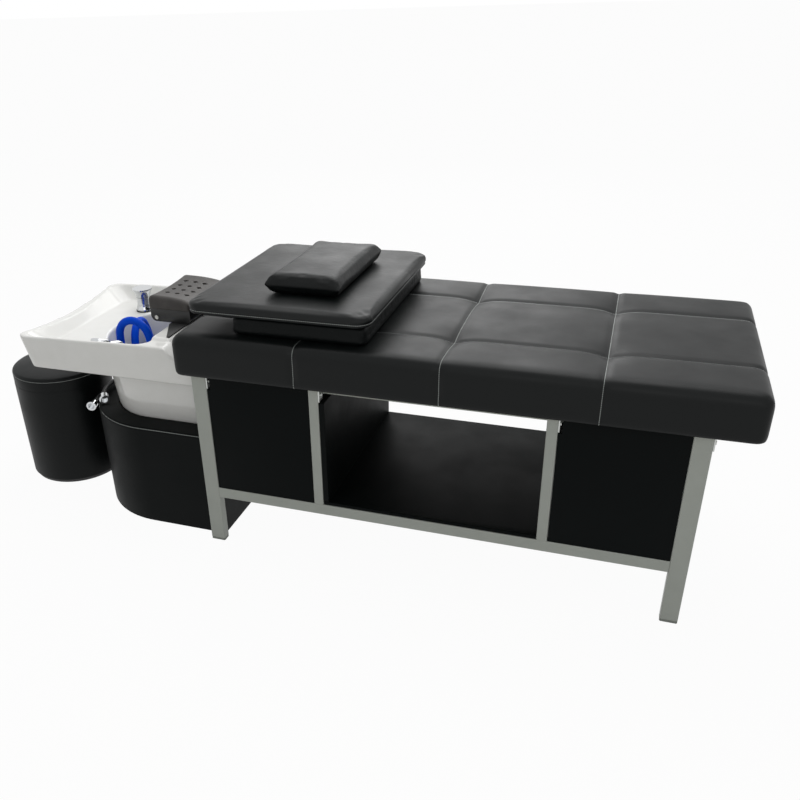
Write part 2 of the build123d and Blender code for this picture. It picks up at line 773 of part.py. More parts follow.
# Bottle trap under the tailpiece, with its outlet down through the base board
trap_top_z = bowl_floor_z - drain_tube_length
trap_outlet_z = trap_top_z - trap_outlet_drop
trap_z = trap_top_z - trap_length
with BuildPart() as drain_trap:
    with Locations((bowl_x, 0, trap_z)):
        Cylinder(trap_radius, trap_length, align=(Align.CENTER, Align.CENTER, Align.MIN))
    with Locations((bowl_x, 0, trap_top_z)):
        Cylinder(trap_collar_radius, 2 * trap_collar_height)
    with Locations(Plane(origin=(bowl_x, 0, trap_outlet_z), z_dir=(1, 0, 0))):
        Cylinder(trap_outlet_radius, trap_outlet_reach, align=(Align.CENTER, Align.CENTER, Align.MIN))
    with Locations((bowl_x + trap_outlet_reach - trap_outlet_radius, 0, joint_gap)):
        Cylinder(
            trap_outlet_radius,
            trap_outlet_z - joint_gap,
            align=(Align.CENTER, Align.CENTER, Align.MIN),
        )
    with Locations((bowl_x, 0, trap_z + trap_wall)):
        Cylinder(
            trap_radius - trap_wall,
            trap_length - 2 * trap_wall,
            align=(Align.CENTER, Align.CENTER, Align.MIN),
            mode=Mode.SUBTRACT,
        )
    with Locations((bowl_x, 0, trap_top_z - trap_wall - joint_gap)):
        Cylinder(
            drain_tube_radius + hole_clearance,
            trap_collar_height + overrun,
            align=(Align.CENTER, Align.CENTER, Align.MIN),
            mode=Mode.SUBTRACT,
        )
drain_trap.part.label = "drain_trap"
export_step(drain_trap.part, "parts/drain_trap.step")

# Mixer: gasket, waisted body on a threaded shank, knob that turns on a pin
mixer_z = tray_floor_height + mixer_gasket_height
with BuildPart() as mixer_gasket:
    with Locations((mixer_x, mixer_side, tray_floor_height)):
        Cylinder(mixer_gasket_radius, mixer_gasket_height, align=(Align.CENTER, Align.CENTER, Align.MIN))
        Cylinder(mixer_shank_radius + hole_clearance, 2 * mixer_gasket_height, mode=Mode.SUBTRACT)
mixer_gasket.part.label = "mixer_gasket"
export_step(mixer_gasket.part, "parts/mixer_gasket.step")

with BuildPart() as mixer_body:
    with BuildSketch(Plane.XZ):
        with BuildLine():
            l1 = Line((0, 0), (mixer_foot_radius, 0))
            l2 = Line(l1 @ 1, (mixer_foot_radius, mixer_foot_height))
            l3 = ThreePointArc(
                l2 @ 1, (mixer_waist_radius, mixer_waist_height), (mixer_seam_radius, mixer_seam_height)
            )
            Polyline(l3 @ 1, (0, mixer_seam_height), (0, 0))
        make_face()
    revolve(axis=Axis.Z)
    with Locations((0, 0, mixer_seam_height)):
        Cylinder(mixer_pin_radius, mixer_pin_height, align=(Align.CENTER, Align.CENTER, Align.MIN))
    Cylinder(mixer_shank_radius, mixer_shank_length, align=(Align.CENTER, Align.CENTER, Align.MAX))
mixer_body.part.position = (mixer_x, mixer_side, mixer_z)
mixer_body.part.label = "mixer_body"
export_step(mixer_body.part, "parts/mixer_body.step")

with BuildPart() as mixer_knob:
    knob_seam = mixer_seam_height + mixer_gap
    with BuildSketch(Plane.XZ):
        with BuildLine():
            l1 = Line((0, knob_seam), (mixer_seam_radius, knob_seam))
            l2 = ThreePointArc(
                l1 @ 1,
                ((mixer_seam_radius + mixer_top_radius) / 2 - mixer_gap, (knob_seam + mixer_height) / 2),
                (mixer_top_radius, mixer_height - mixer_foot_height),
            )
            Polyline(l2 @ 1, (mixer_top_radius, mixer_height), (0, mixer_height), (0, knob_seam))
        make_face()
    revolve(axis=Axis.Z)
    with Locations((0, 0, mixer_seam_height)):
        Cylinder(
            mixer_pin_radius + mixer_pin_clearance,
            mixer_pin_height + mixer_gap,
            align=(Align.CENTER, Align.CENTER, Align.MIN),
            mode=Mode.SUBTRACT,
        )
mixer_knob.part.position = (mixer_x, mixer_side, mixer_z)
mixer_knob.part.label = "mixer_knob"
export_step(mixer_knob.part, "parts/mixer_knob.step")

with BuildPart() as mixer_nut:
    with BuildSketch(Plane.XY.offset(pocket_top - mixer_nut_height)):
        with Locations((mixer_x, mixer_side)):
            RegularPolygon(mixer_nut_radius, 6)
            Circle(mixer_shank_radius + hole_clearance, mode=Mode.SUBTRACT)
    extrude(amount=mixer_nut_height)
mixer_nut.part.label = "mixer_nut"
export_step(mixer_nut.part, "parts/mixer_nut.step")

# Neck rest: mat on the deck, base plate with two lugs, tilting shell, gel pad and pivot screws
plate_z = neck_deck_height + saddle_thickness
plate_top_z = plate_z + neck_plate_thickness
neck_pivot_x = head_x - neck_pivot_setback
neck_pivot_z = plate_z + neck_pivot_rise
shell_x0 = head_x - shell_head_setback
shell_x1 = head_x - shell_bed_setback
shell_z = plate_z + shell_underside_gap
neck_shell_top_z = shell_z + shell_height
mat_x0 = neck_edge_x + saddle_margin
mat_x1 = neck_crest_x - saddle_margin

with BuildPart() as neck_saddle:
    with BuildSketch(Plane.XY.offset(neck_deck_height)):
        with BuildLine():
            Polyline(
                (mat_x0, -saddle_shoulder),
                (mat_x1 - saddle_tip_width, -saddle_half_width),
                (mat_x1, -saddle_half_width),
                (mat_x1, saddle_half_width),
                (mat_x1 - saddle_tip_width, saddle_half_width),
                (mat_x0, saddle_shoulder),
                close=True,
            )
        make_face()
    extrude(amount=saddle_thickness)
neck_saddle.part.label = "neck_saddle"
export_step(neck_saddle.part, "parts/neck_saddle.step")

plate_x1 = shell_x1 - shell_wall - neck_plate_clearance
with BuildPart() as neck_rest_base:
    slab(neck_pivot_x, plate_x1, -neck_plate_half_width, neck_plate_half_width, plate_z, plate_top_z)
    for side, sign in sides:
        y0, y1 = sorted((sign * neck_plate_half_width, sign * (neck_plate_half_width - neck_lug_thickness)))
        lug_plane = Plane.XZ.offset(-y1)
        with BuildSketch(lug_plane):
            with Locations((neck_pivot_x, neck_pivot_z)):
                Circle(neck_lug_radius)
            with Locations((neck_pivot_x + neck_lug_radius, (plate_z + neck_pivot_z) / 2)):
                Rectangle(2 * neck_lug_radius, neck_pivot_z - plate_z)
            with Locations((neck_pivot_x, neck_pivot_z)):
                Circle(neck_pin_radius + hole_clearance, mode=Mode.SUBTRACT)
        extrude(amount=neck_lug_thickness)
neck_rest_base.part.label = "neck_rest_base"
export_step(neck_rest_base.part, "parts/neck_rest_base.step")

with BuildPart() as neck_rest_shell:
    slab(shell_x0, shell_x1, -shell_half_width, shell_half_width, shell_z, neck_shell_top_z)
    fillet(edges().filter_by(Axis.Y).group_by(Axis.Z)[0], shell_round)
    carve(
        shell_x0 + shell_wall, shell_x1 - shell_wall,
        -shell_half_width + shell_wall, shell_half_width - shell_wall,
        shell_z - overrun, neck_shell_top_z - shell_wall,
    )
    with Locations(Plane(origin=(neck_pivot_x, 0, neck_pivot_z), z_dir=(0, 1, 0))):
        Cylinder(neck_pin_radius + hole_clearance, 2 * shell_half_width + overrun, mode=Mode.SUBTRACT)
neck_rest_shell.part.label = "neck_rest_shell"
export_step(neck_rest_shell.part, "parts/neck_rest_shell.step")

with BuildPart() as neck_rest_screws:
    for side, sign in sides:
        with Locations(Plane(origin=(neck_pivot_x, sign * shell_half_width, neck_pivot_z), z_dir=(0, sign, 0))):
            Cylinder(
                neck_pin_head_radius, neck_pin_head_height, align=(Align.CENTER, Align.CENTER, Align.MIN)
            )
            Cylinder(
                neck_pin_radius,
                shell_half_width - neck_plate_half_width + neck_lug_thickness,
                align=(Align.CENTER, Align.CENTER, Align.MAX),
            )
neck_rest_screws.part.label = "neck_rest_screws"
export_step(neck_rest_screws.part, "parts/neck_rest_screws.step")

with BuildPart() as neck_rest_pad:
    gel_side = shell_half_width + gel_overhang
    gel_top = neck_shell_top_z + gel_thickness
    slab(shell_x0 - gel_overhang, shell_x1 + gel_overhang, -gel_side, gel_side, neck_shell_top_z, gel_top)
    fillet(edges().filter_by(Axis.Z), gel_round)
    fillet(faces().sort_by(Axis.Z)[-1].edges(), gel_upper_round)
    with BuildSketch(Plane.XY.offset(gel_top)):
        with Locations(((shell_x0 + shell_x1) / 2, 0)):
            with GridLocations(gel_hole_pitch_x, gel_hole_pitch_y, gel_hole_rows, gel_hole_columns):
                Polygon(
                    (-gel_hole_length / 2, 0),
                    (0, -gel_hole_width / 2),
                    (gel_hole_length / 2, 0),
                    (0, gel_hole_width / 2),
                    align=None,
                )
    extrude(amount=-gel_hole_depth, mode=Mode.SUBTRACT)
neck_rest_pad.part.label = "neck_rest_pad"
export_step(neck_rest_pad.part, "parts/neck_rest_pad.step")

# Booster: a block with a wider pad on it, loose on the mattress
block_z = mattress_top + cushion_gap
pad_z = block_z + block_height
pad_top = pad_z + booster_pad_thickness
with BuildPart() as booster_block:
    slab(
        head_x + block_head_inset, head_x + block_foot_inset,
        -block_side, block_side, block_z, pad_z,
    )
    fillet(edges().filter_by(Axis.Z), block_corner)
booster_block.part.label = "booster_block"
export_step(booster_block.part, "parts/booster_block.step")

with BuildPart() as booster_pad:
    slab(
        head_x + booster_head_inset, head_x + booster_foot_inset,
        -booster_side, booster_side, pad_z, pad_top,
    )
    fillet(edges().filter_by(Axis.Z), booster_pad_corner)
    fillet(faces().filter_by(Axis.Z).edges(), booster_pad_edge)
booster_pad.part.label = "booster_pad"
export_step(booster_pad.part, "parts/booster_pad.step")

# Pillow on the booster
pillow_z = pad_top + cushion_gap
with BuildPart() as pillow:
    with Locations((head_x + pillow_inset, pillow_side, pillow_z + pillow_thickness / 2)):
        Box(pillow_length, pillow_width, pillow_thickness)
    fillet(edges().filter_by(Axis.Z), pillow_corner)
    fillet(faces().filter_by(Axis.Z).edges(), pillow_edge)
pillow.part.label = "pillow"
export_step(pillow.part, "parts/pillow.step")

# Stool: base board, wrapped shell and seat cushion
stool_x = head_x - stool_setback
seat_z = stool_height - stool_seat_thickness
with BuildPart() as stool_base:
    with Locations((stool_x, 0, 0)):
        Cylinder(
            stool_radius - stool_base_inset, stool_base_height, align=(Align.CENTER, Align.CENTER, Align.MIN)
        )
stool_base.part.label = "stool_base"
export_step(stool_base.part, "parts/stool_base.step")

with BuildPart() as stool_shell:
    with Locations((stool_x, 0, stool_base_height)):
        Cylinder(stool_radius, seat_z - stool_base_height, align=(Align.CENTER, Align.CENTER, Align.MIN))
        Cylinder(
            stool_radius - stool_wall,
            seat_z - stool_base_height,
            align=(Align.CENTER, Align.CENTER, Align.MIN),
            mode=Mode.SUBTRACT,
        )
stool_shell.part.label = "stool_shell"
export_step(stool_shell.part, "parts/stool_shell.step")

with BuildPart() as stool_seat:
    with Locations((stool_x, 0, seat_z)):
        Cylinder(stool_radius, stool_seat_thickness, align=(Align.CENTER, Align.CENTER, Align.MIN))
    fillet(faces().sort_by(Axis.Z)[-1].edges(), stool_seat_round)
stool_seat.part.label = "stool_seat"
export_step(stool_seat.part, "parts/stool_seat.step")

# Hose ferrule in the bowl's front wall
ferrule_x = bowl_front_x - bowl_wall
with BuildPart() as hose_ferrule:
    with Locations(Plane(origin=(ferrule_x, ferrule_side, ferrule_height), z_dir=(-1, 0, 0))):
        Cylinder(
            ferrule_flange_radius, ferrule_flange_thickness, align=(Align.CENTER, Align.CENTER, Align.MIN)
        )
        Cylinder(ferrule_radius, ferrule_reach, align=(Align.CENTER, Align.CENTER, Align.MIN))
        Cylinder(
            ferrule_radius - hole_clearance,
            bowl_wall + ferrule_tail,
            align=(Align.CENTER, Align.CENTER, Align.MAX),
        )
hose_ferrule.part.label = "hose_ferrule"
export_step(hose_ferrule.part, "parts/hose_ferrule.step")

# The shower hose's route, measured from the mattress's head end and up from the bowl's floor:
# out of the ferrule, across the bowl, up in two standing loops and down to the hand shower
hose_places = [
    (-10, 40, 127), (-46, 40, 127), (-78, 50, 112), (-104, 63, 91), (-128, 78, 69),
    (-155, 90, 49), (-188, 96, 38), (-224, 95, 39), (-255, 90, 55), (-279, 86, 82),
    (-295, 84, 114), (-303, 83, 149), (-307, 79, 184), (-306, 66, 217), (-300, 39, 239),
    (-292, 5, 240), (-285, -23, 219), (-281, -34, 186), (-280, -33, 150), (-278, -22, 116),
    (-271, -3, 86), (-258, 19, 61), (-237, 40, 41), (-212, 54, 30), (-183, 59, 26),
    (-149, 51, 29), (-124, 28, 42), (-118, -1, 61), (-129, -28, 82), (-151, -45, 104),
    (-177, -54, 127), (-201, -55, 154), (-216, -52, 186), (-218, -49, 221), (-229, -49, 254),
    (-257, -50, 272), (-290, -51, 268), (-313, -51, 243), (-316, -50, 208), (-319, -45, 173),
    (-323, -39, 138), (-322, -37, 102), (-306, -43, 70), (-279, -59, 55), (-252, -80, 61),
    (-234, -101, 89), (-237, -110, 120),
]
hose_points = [(head_x + x, y, bowl_floor_z + z) for x, y, z in hose_places]
with BuildPart() as shower_hose:
    hose_length = cord_tube(hose_points, hose_radius)
shower_hose.part.label = "shower_hose"
export_step(shower_hose.part, "parts/shower_hose.step")
print("hose volume share", round(shower_hose.part.volume / (math.pi * hose_radius ** 2 * hose_length), 4))

# Hand shower: a grip that hangs in the bowl, a neck over the bowl's edge and a round head
# that leans on the tray floor with its face down
grip_low = Vector(*hose_points[-1])
grip_axis = (grip_low - Vector(*hose_points[-2])).normalized()
grip_high = grip_low + grip_axis * handle_length
head_normal = Vector(0, 0, 1).rotate(Axis.X, -spray_head_tilt)
head_centre = Vector(
    head_x - spray_head_setback, -spray_head_side, tray_floor_height + spray_head_rise
)
toward_grip = grip_high - head_centre
toward_grip = (toward_grip - head_normal * toward_grip.dot(head_normal)).normalized()
neck_end = head_centre + toward_grip * neck_entry
with BuildPart() as hand_shower:
    with BuildSketch(Plane(origin=grip_low, z_dir=grip_axis)):
        Circle(handle_radius)
    with BuildSketch(Plane(origin=grip_high, z_dir=grip_axis)):
        Circle(handle_waist_radius)
    loft()
    with BuildLine() as neck_line:
        Spline(grip_high, neck_end, tangents=[grip_axis, -toward_grip])
    with BuildSketch(Plane(origin=grip_high, z_dir=grip_axis)):
        Circle(handle_waist_radius)
    sweep(path=neck_line.line)
    with Locations(Plane(origin=head_centre, z_dir=head_normal)):
        Cylinder(spray_head_radius, spray_head_thickness)
    fillet(edges().filter_by(GeomType.CIRCLE).sort_by(Axis.Z)[-1], spray_head_round)
hand_shower.part.label = "hand_shower"
export_step(hand_shower.part, "parts/hand_shower.step")

with BuildPart() as spray_face:
    with Locations(Plane(origin=head_centre - head_normal * (spray_head_thickness / 2), z_dir=-head_normal)):
        Cylinder(
            spray_face_radius, spray_face_thickness, align=(Align.CENTER, Align.CENTER, Align.MIN)
        )
spray_face.part.label = "spray_face"
export_step(spray_face.part, "parts/spray_face.step")

# Supply hoses: from the mixer's shank, down between the drums, each into a union nut
supply_places = {
    "cold": [
        (-349.5, 133, 439), (-349.5, 133, 407), (-360, 122, 378), (-373, 107, 353), (-388, 89, 332),
        (-404, 68, 313), (-420, 37, 294), (-429, 9, 282), (-435, -22, 272), (-436, -53, 267),
        (-426, -84, 267),
    ],
    "hot": [
        (-336.5, 133, 439), (-336.5, 133, 407), (-339, 125, 376), (-349, 111, 350), (-363, 89, 331),
        (-377, 63, 320), (-390, 26, 313), (-395, -6, 311), (-393, -38, 313), (-385, -68, 314),
        (-371, -97, 316), (-352, -123, 316),
    ],
}
for supply, places in supply_places.items():
    points = [(head_x + x, y, z) for x, y, z in places]
    with BuildPart() as supply_hose:
        supply_length = cord_tube(points, supply_radius)
    supply_hose.part.label = f"supply_hose_{supply}"
    export_step(supply_hose.part, f"parts/supply_hose_{supply}.step")
    print("supply volume share", round(supply_hose.part.volume / (math.pi * supply_radius ** 2 * supply_length), 4))
    end = Vector(*points[-1])
    facing = (end - Vector(*points[-2])).normalized()
    with BuildPart() as supply_nut:
        with BuildSketch(Plane(origin=end, z_dir=facing)):
            Circle(nut_radius)
        extrude(amount=nut_length)
        with BuildSketch(Plane(origin=end + facing * nut_length, z_dir=facing)):
            Circle(nut_bore_radius)
        extrude(amount=-nut_bore_depth, mode=Mode.SUBTRACT)
    supply_nut.part.label = f"supply_nut_{supply}"
    export_step(supply_nut.part, f"parts/supply_nut_{supply}.step")
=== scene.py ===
"""Looks of the hair washing bed: padded bench, ceramic basin on its pedestal, booster, pillow and stool.

Everything is in metres. +X runs from the basin to the foot end, -Y faces the room, +Z is up.
"""

import logging
import math
from dataclasses import dataclass
from enum import Enum

import bmesh
import bpy
import numpy as np
from mathutils import Matrix, Vector


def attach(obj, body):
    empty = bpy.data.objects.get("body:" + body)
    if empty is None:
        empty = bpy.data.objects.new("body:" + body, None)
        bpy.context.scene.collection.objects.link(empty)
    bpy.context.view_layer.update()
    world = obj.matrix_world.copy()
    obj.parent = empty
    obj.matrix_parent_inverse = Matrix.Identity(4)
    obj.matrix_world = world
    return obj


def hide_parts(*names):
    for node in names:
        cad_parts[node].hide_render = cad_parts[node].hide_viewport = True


logging.basicConfig(level=logging.INFO, format="%(message)s")
log = logging.getLogger("hair_washing_bed")

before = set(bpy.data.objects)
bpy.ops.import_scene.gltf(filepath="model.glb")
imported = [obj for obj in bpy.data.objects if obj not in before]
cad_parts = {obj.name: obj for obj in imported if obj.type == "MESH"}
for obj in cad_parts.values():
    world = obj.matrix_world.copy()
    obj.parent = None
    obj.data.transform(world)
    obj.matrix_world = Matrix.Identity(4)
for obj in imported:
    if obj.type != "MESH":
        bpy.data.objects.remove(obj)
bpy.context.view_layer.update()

# Distance of the mattress's head end from the middle of the whole outline.
HEAD_X = -0.301

# A place further out than the bed reaches, for a seam with no limit on that side.
ANYWHERE = 9.0

Point = tuple[float, float, float]


class Body(Enum):
    """The rigid bodies that the dressed pieces ride on."""

    BED = "bed"
    NECK_REST = "neck_rest"
    BOOSTER = "booster"
    PILLOW = "pillow"
    STOOL = "stool"


class Slot(Enum):
    """The record's material slots. Nothing in this script gives them to the pieces."""

    LEATHERETTE = "leatherette"
    CERAMIC = "glazed_ceramic"
    RUBBER = "black_rubber"
    GEL = "gel_rubber"
    PLASTIC = "black_plastic"
    HOSE = "blue_hose"


# ---- colour and node helpers


def linear(hex_code: str) -> tuple[float, float, float, float]:
    """Turns an sRGB hex colour into the linear values that shaders use.

    Args:
        hex_code: Six hex digits, such as "80847d".

    Returns:
        Red, green, blue and an alpha of 1.
    """
    parts = [int(hex_code[i : i + 2], 16) / 255 for i in (0, 2, 4)]
    r, g, b = (c / 12.92 if c <= 0.04045 else ((c + 0.055) / 1.055) ** 2.4 for c in parts)
    return (r, g, b, 1.0)


def add_node(
    tree: bpy.types.NodeTree, kind: str, values: dict | None = None, links: dict | None = None
) -> bpy.types.Node:
    """Adds one shader node.

    Args:
        tree: The node tree to add to.
        kind: The node's type, without "ShaderNode".
        values: Input sockets by name or number, or properties by name, with their values.
        links: Input sockets by name or number, with the output sockets that feed them.

    Returns:
        The new node.
    """
    node = tree.nodes.new("ShaderNode" + kind)
    for key, value in (values or {}).items():
        if isinstance(key, str) and hasattr(node, key) and key not in node.inputs:
            setattr(node, key, value)
    for key, value in (values or {}).items():
        if isinstance(key, int) or key in node.inputs:
            node.inputs[key].default_value = value
    for key, socket in (links or {}).items():
        tree.links.new(socket, node.inputs[key])
    return node


def math_node(
    tree: bpy.types.NodeTree, operation: str, *inputs: float | bpy.types.NodeSocket
) -> bpy.types.NodeSocket:
    """Adds a Math node.

    Args:
        tree: The node tree to add to.
        operation: The node's operation.
        inputs: A number or an output socket for each of its inputs, in order.

    Returns:
        The node's output.
    """
    numbers = {place: value for place, value in enumerate(inputs) if isinstance(value, (int, float))}
    sockets = {place: value for place, value in enumerate(inputs) if place not in numbers}
    return add_node(tree, "Math", {"operation": operation, **numbers}, sockets).outputs[0]


# ---- finishes


@dataclass(frozen=True)
class Finish:
    """A surface finish. Subclasses say what the real material is and draw its detail."""

    name: str
    colour: str
    roughness: float = 0.5
    ior: float = 1.5

    def shader(self, tree: bpy.types.NodeTree) -> bpy.types.Node:
        """Adds the Principled shader with the values that are the same all over."""
        values = {"Base Color": linear(self.colour), "Roughness": self.roughness, "IOR": self.ior}
        return add_node(tree, "BsdfPrincipled", values)

    def draw(self, tree: bpy.types.NodeTree, place: bpy.types.NodeSocket, bsdf: bpy.types.Node) -> None:
        """Draws the surface's detail. Each finish has its own."""

    def build(self) -> bpy.types.Material:
        """Makes the material.

        Returns:
            The finished material, with the finish's name.
        """
        material = bpy.data.materials.new(self.name)
        material.use_nodes = True
        tree = material.node_tree
        tree.nodes.clear()
        bsdf = self.shader(tree)
        add_node(tree, "OutputMaterial", links={"Surface": bsdf.outputs[0]})
        place = add_node(tree, "TexCoord").outputs["Object"]
        self.draw(tree, place, bsdf)
        return material

    def tint(
        self,
        tree: bpy.types.NodeTree,
        bsdf: bpy.types.Node,
        factor: bpy.types.NodeSocket,
        dark: str,
        light: str,
    ) -> bpy.types.Node:
        """Feeds the base colour with a mix of two colours.

        Args:
            tree: The node tree.
            bsdf: The shader whose base colour is fed.
            factor: 0 gives the dark colour, 1 the light one.
            dark: Hex colour at 0.
            light: Hex colour at 1.

        Returns:
            The mix node.
        """
        mix = add_node(tree, "Mix", {"data_type": "RGBA", 6: linear(dark), 7: linear(light)}, {0: factor})
        tree.links.new(mix.outputs[2], bsdf.inputs["Base Color"])
        return mix


@dataclass(frozen=True)
class Seam:
    """A sewn seam in a plane across one axis, drawn as a sunk line with thread stitches.

    Attributes:
        axis: 0, 1 or 2 for X, Y or Z.
        at: The plane's place on that axis, in metres.
        low: Lowest corner of the region that the seam shows in.
        high: Highest corner of that region.
        stitched: Whether its thread shows.
    """

    axis: int
    at: float
    low: Point = (-ANYWHERE, -ANYWHERE, -ANYWHERE)
    high: Point = (ANYWHERE, ANYWHERE, ANYWHERE)
    stitched: bool = True


@dataclass(frozen=True)
class Leatherette(Finish):
    """PVC-coated fabric, embossed with a pebble grain under a satin lacquer.

    The grain's cells are about 1.6 mm wide. They are drawn a little coarser than on most covers
    so that they show. Broad faint patches change the sheen where the cover is pulled over foam.
    """

    worn: str = "0b0e0e"
    grain: float = 0.0016
    grain_strength: float = 0.16
    wrinkle: float = 0.0
    thread: str = "a3a8a5"
    thread_reach: float = 0.0008
    stitch: float = 0.005
    stitch_share: float = 0.68
    groove: float = 0.0025
    seams: tuple[Seam, ...] = ()

    def line(self, tree: bpy.types.NodeTree, place: bpy.types.NodeSocket, seam: Seam) -> tuple:
        """Draws one seam.

        Args:
            tree: The node tree.
            place: Object coordinates.
            seam: The seam.

        Returns:
            Sockets of the thread's mask and of the sunk line's height.
        """
        axes = add_node(tree, "SeparateXYZ", links={0: place}).outputs
        away = math_node(tree, "SUBTRACT", axes[seam.axis], seam.at)
        away = math_node(tree, "ABSOLUTE", away)
        groove = {"interpolation_type": "SMOOTHSTEP", "From Max": self.groove}
        groove |= {"From Min": 0.0, "To Min": 0.0, "To Max": 1.0}
        sunk = add_node(tree, "MapRange", groove, {"Value": away}).outputs[0]
        near = math_node(tree, "LESS_THAN", away, self.thread_reach)
        others = [axes[k] for k in range(3) if k != seam.axis]
        run = math_node(tree, "ADD", *others)
        beat = math_node(tree, "DIVIDE", run, self.stitch)
        beat = math_node(tree, "FRACT", beat)
        beat = math_node(tree, "LESS_THAN", beat, self.stitch_share)
        mask = math_node(tree, "MULTIPLY", near, beat)
        for axis in range(3):
            for limit, way in ((seam.low[axis], "GREATER_THAN"), (seam.high[axis], "LESS_THAN")):
                if abs(limit) < ANYWHERE:
                    inside = math_node(tree, way, axes[axis], limit)
                    mask = math_node(tree, "MULTIPLY", mask, inside)
                    outside = math_node(tree, "SUBTRACT", 1.0, inside)
                    sunk = math_node(tree, "MAXIMUM", sunk, outside)
        return mask, sunk

    def draw(self, tree: bpy.types.NodeTree, place: bpy.types.NodeSocket, bsdf: bpy.types.Node) -> None:
        """Draws grain, faint wear patches, wrinkles and seams."""
        values = {"Scale": 9.0, "Detail": 4.0, "Roughness": 0.55}
        patches = add_node(tree, "TexNoise", values, {"Vector": place})
        mix = self.tint(tree, bsdf, patches.outputs[0], self.colour, self.worn)
        values = {"From Min": 0.3, "From Max": 0.7}
        values |= {"To Min": self.roughness - 0.05, "To Max": self.roughness + 0.07}
        sheen = add_node(tree, "MapRange", values, {"Value": patches.outputs[0]})
        tree.links.new(sheen.outputs[0], bsdf.inputs["Roughness"])
        values = {"Scale": 1 / self.grain, "Randomness": 0.9}
        pebble = add_node(tree, "TexVoronoi", values, {"Vector": place})
        bump = add_node(
            tree,
            "Bump",
            {"Strength": self.grain_strength, "Distance": 0.0004},
            {"Height": pebble.outputs["Distance"]},
        )
        if self.wrinkle > 0:
            values = {"Scale": 26.0, "Detail": 5.0, "Roughness": 0.62, "Distortion": 1.4}
            creases = add_node(tree, "TexNoise", values, {"Vector": place})
            bump = add_node(
                tree,
                "Bump",
                {"Strength": self.wrinkle, "Distance": 0.006},
                {"Height": creases.outputs[0], "Normal": bump.outputs[0]},
            )
        colour = mix.outputs[2]
        for seam in self.seams:
            mask, sunk = self.line(tree, place, seam)
            if seam.stitched:
                thread = add_node(
                    tree, "Mix", {"data_type": "RGBA", 7: linear(self.thread)}, {0: mask, 6: colour}
                )
                colour = thread.outputs[2]
            links = {"Height": sunk, "Normal": bump.outputs[0]}
            bump = add_node(tree, "Bump", {"Strength": 0.6, "Distance": 0.0012}, links)
        tree.links.new(colour, bsdf.inputs["Base Color"])
        tree.links.new(bump.outputs[0], bsdf.inputs["Normal"])


@dataclass(frozen=True)
class PowderCoat(Finish):
    """Polyester powder baked on steel tube: satin, with a fine orange-peel skin."""

    metallic: float = 0.15

    def shader(self, tree: bpy.types.NodeTree) -> bpy.types.Node:
        """Adds the shader with the flake's share of metal."""
        bsdf = super().shader(tree)
        bsdf.inputs["Metallic"].default_value = self.metallic
        return bsdf

    def draw(self, tree: bpy.types.NodeTree, place: bpy.types.NodeSocket, bsdf: bpy.types.Node) -> None:
        """Draws the orange peel, 1.5 mm from crest to crest, and faint rubbed patches."""
        peel = add_node(tree, "TexNoise", {"Scale": 650.0, "Detail": 2.0}, {"Vector": place})
        bump = add_node(tree, "Bump", {"Strength": 0.12, "Distance": 0.0003}, {"Height": peel.outputs[0]})
        tree.links.new(bump.outputs[0], bsdf.inputs["Normal"])
        values = {"Scale": 14.0, "Detail": 5.0, "Roughness": 0.6}
        rubbed = add_node(tree, "TexNoise", values, {"Vector": place})
        self.tint(tree, bsdf, rubbed.outputs[0], "9a9e97", "a9ada6")


@dataclass(frozen=True)
class Glaze(Finish):
    """Vitreous china under a clear fired glaze: hard gloss, with long soft waves where it ran."""

    def draw(self, tree: bpy.types.NodeTree, place: bpy.types.NodeSocket, bsdf: bpy.types.Node) -> None:
        """Draws the glaze's waves and a trace of cream in the white."""
        waves = add_node(tree, "TexNoise", {"Scale": 22.0, "Detail": 2.0}, {"Vector": place})
        bump = add_node(tree, "Bump", {"Strength": 0.05, "Distance": 0.002}, {"Height": waves.outputs[0]})
        tree.links.new(bump.outputs[0], bsdf.inputs["Normal"])
        self.tint(tree, bsdf, waves.outputs[0], "ecece8", "f4f4f1")


@dataclass(frozen=True)
class Moulded(Finish):
    """A moulded or extruded piece with a spark-eroded texture, of plastic, rubber or gel."""

    light: str = "2a2a2a"
    texture: float = 0.0008
    strength: float = 0.2

    def draw(self, tree: bpy.types.NodeTree, place: bpy.types.NodeSocket, bsdf: bpy.types.Node) -> None:
        """Draws the mould's texture and a slight change of tone."""
        fine = add_node(tree, "TexNoise", {"Scale": 1 / self.texture, "Detail": 3.0}, {"Vector": place})
        bump = add_node(
            tree, "Bump", {"Strength": self.strength, "Distance": 0.0003}, {"Height": fine.outputs[0]}
        )
        tree.links.new(bump.outputs[0], bsdf.inputs["Normal"])
        tone = add_node(tree, "TexNoise", {"Scale": 30.0, "Detail": 4.0}, {"Vector": place})
        self.tint(tree, bsdf, tone.outputs[0], self.colour, self.light)


@dataclass(frozen=True)
class BareMetal(Finish):
    """Plated or bare metal. A long noise along one axis gives brushing, an even one plating."""

    stretch: Point = (1.0, 1.0, 1.0)
    spread: float = 0.05

    def shader(self, tree: bpy.types.NodeTree) -> bpy.types.Node:
        """Adds a fully metallic shader."""
        values = {"Base Color": linear(self.colour), "Roughness": self.roughness, "Metallic": 1.0}
        return add_node(tree, "BsdfPrincipled", values)

    def draw(self, tree: bpy.types.NodeTree, place: bpy.types.NodeSocket, bsdf: bpy.types.Node) -> None:
        """Draws the finish's marks in the roughness."""
        turned = add_node(tree, "Mapping", {"Scale": self.stretch}, {"Vector": place})
        marks = add_node(tree, "TexNoise", {"Scale": 240.0, "Detail": 3.0}, {"Vector": turned.outputs[0]})
        rough = add_node(
            tree,
            "MapRange",
            {"To Min": max(self.roughness - self.spread, 0.02), "To Max": self.roughness + self.spread},
            {"Value": marks.outputs[0]},
        )
        tree.links.new(rough.outputs[0], bsdf.inputs["Roughness"])


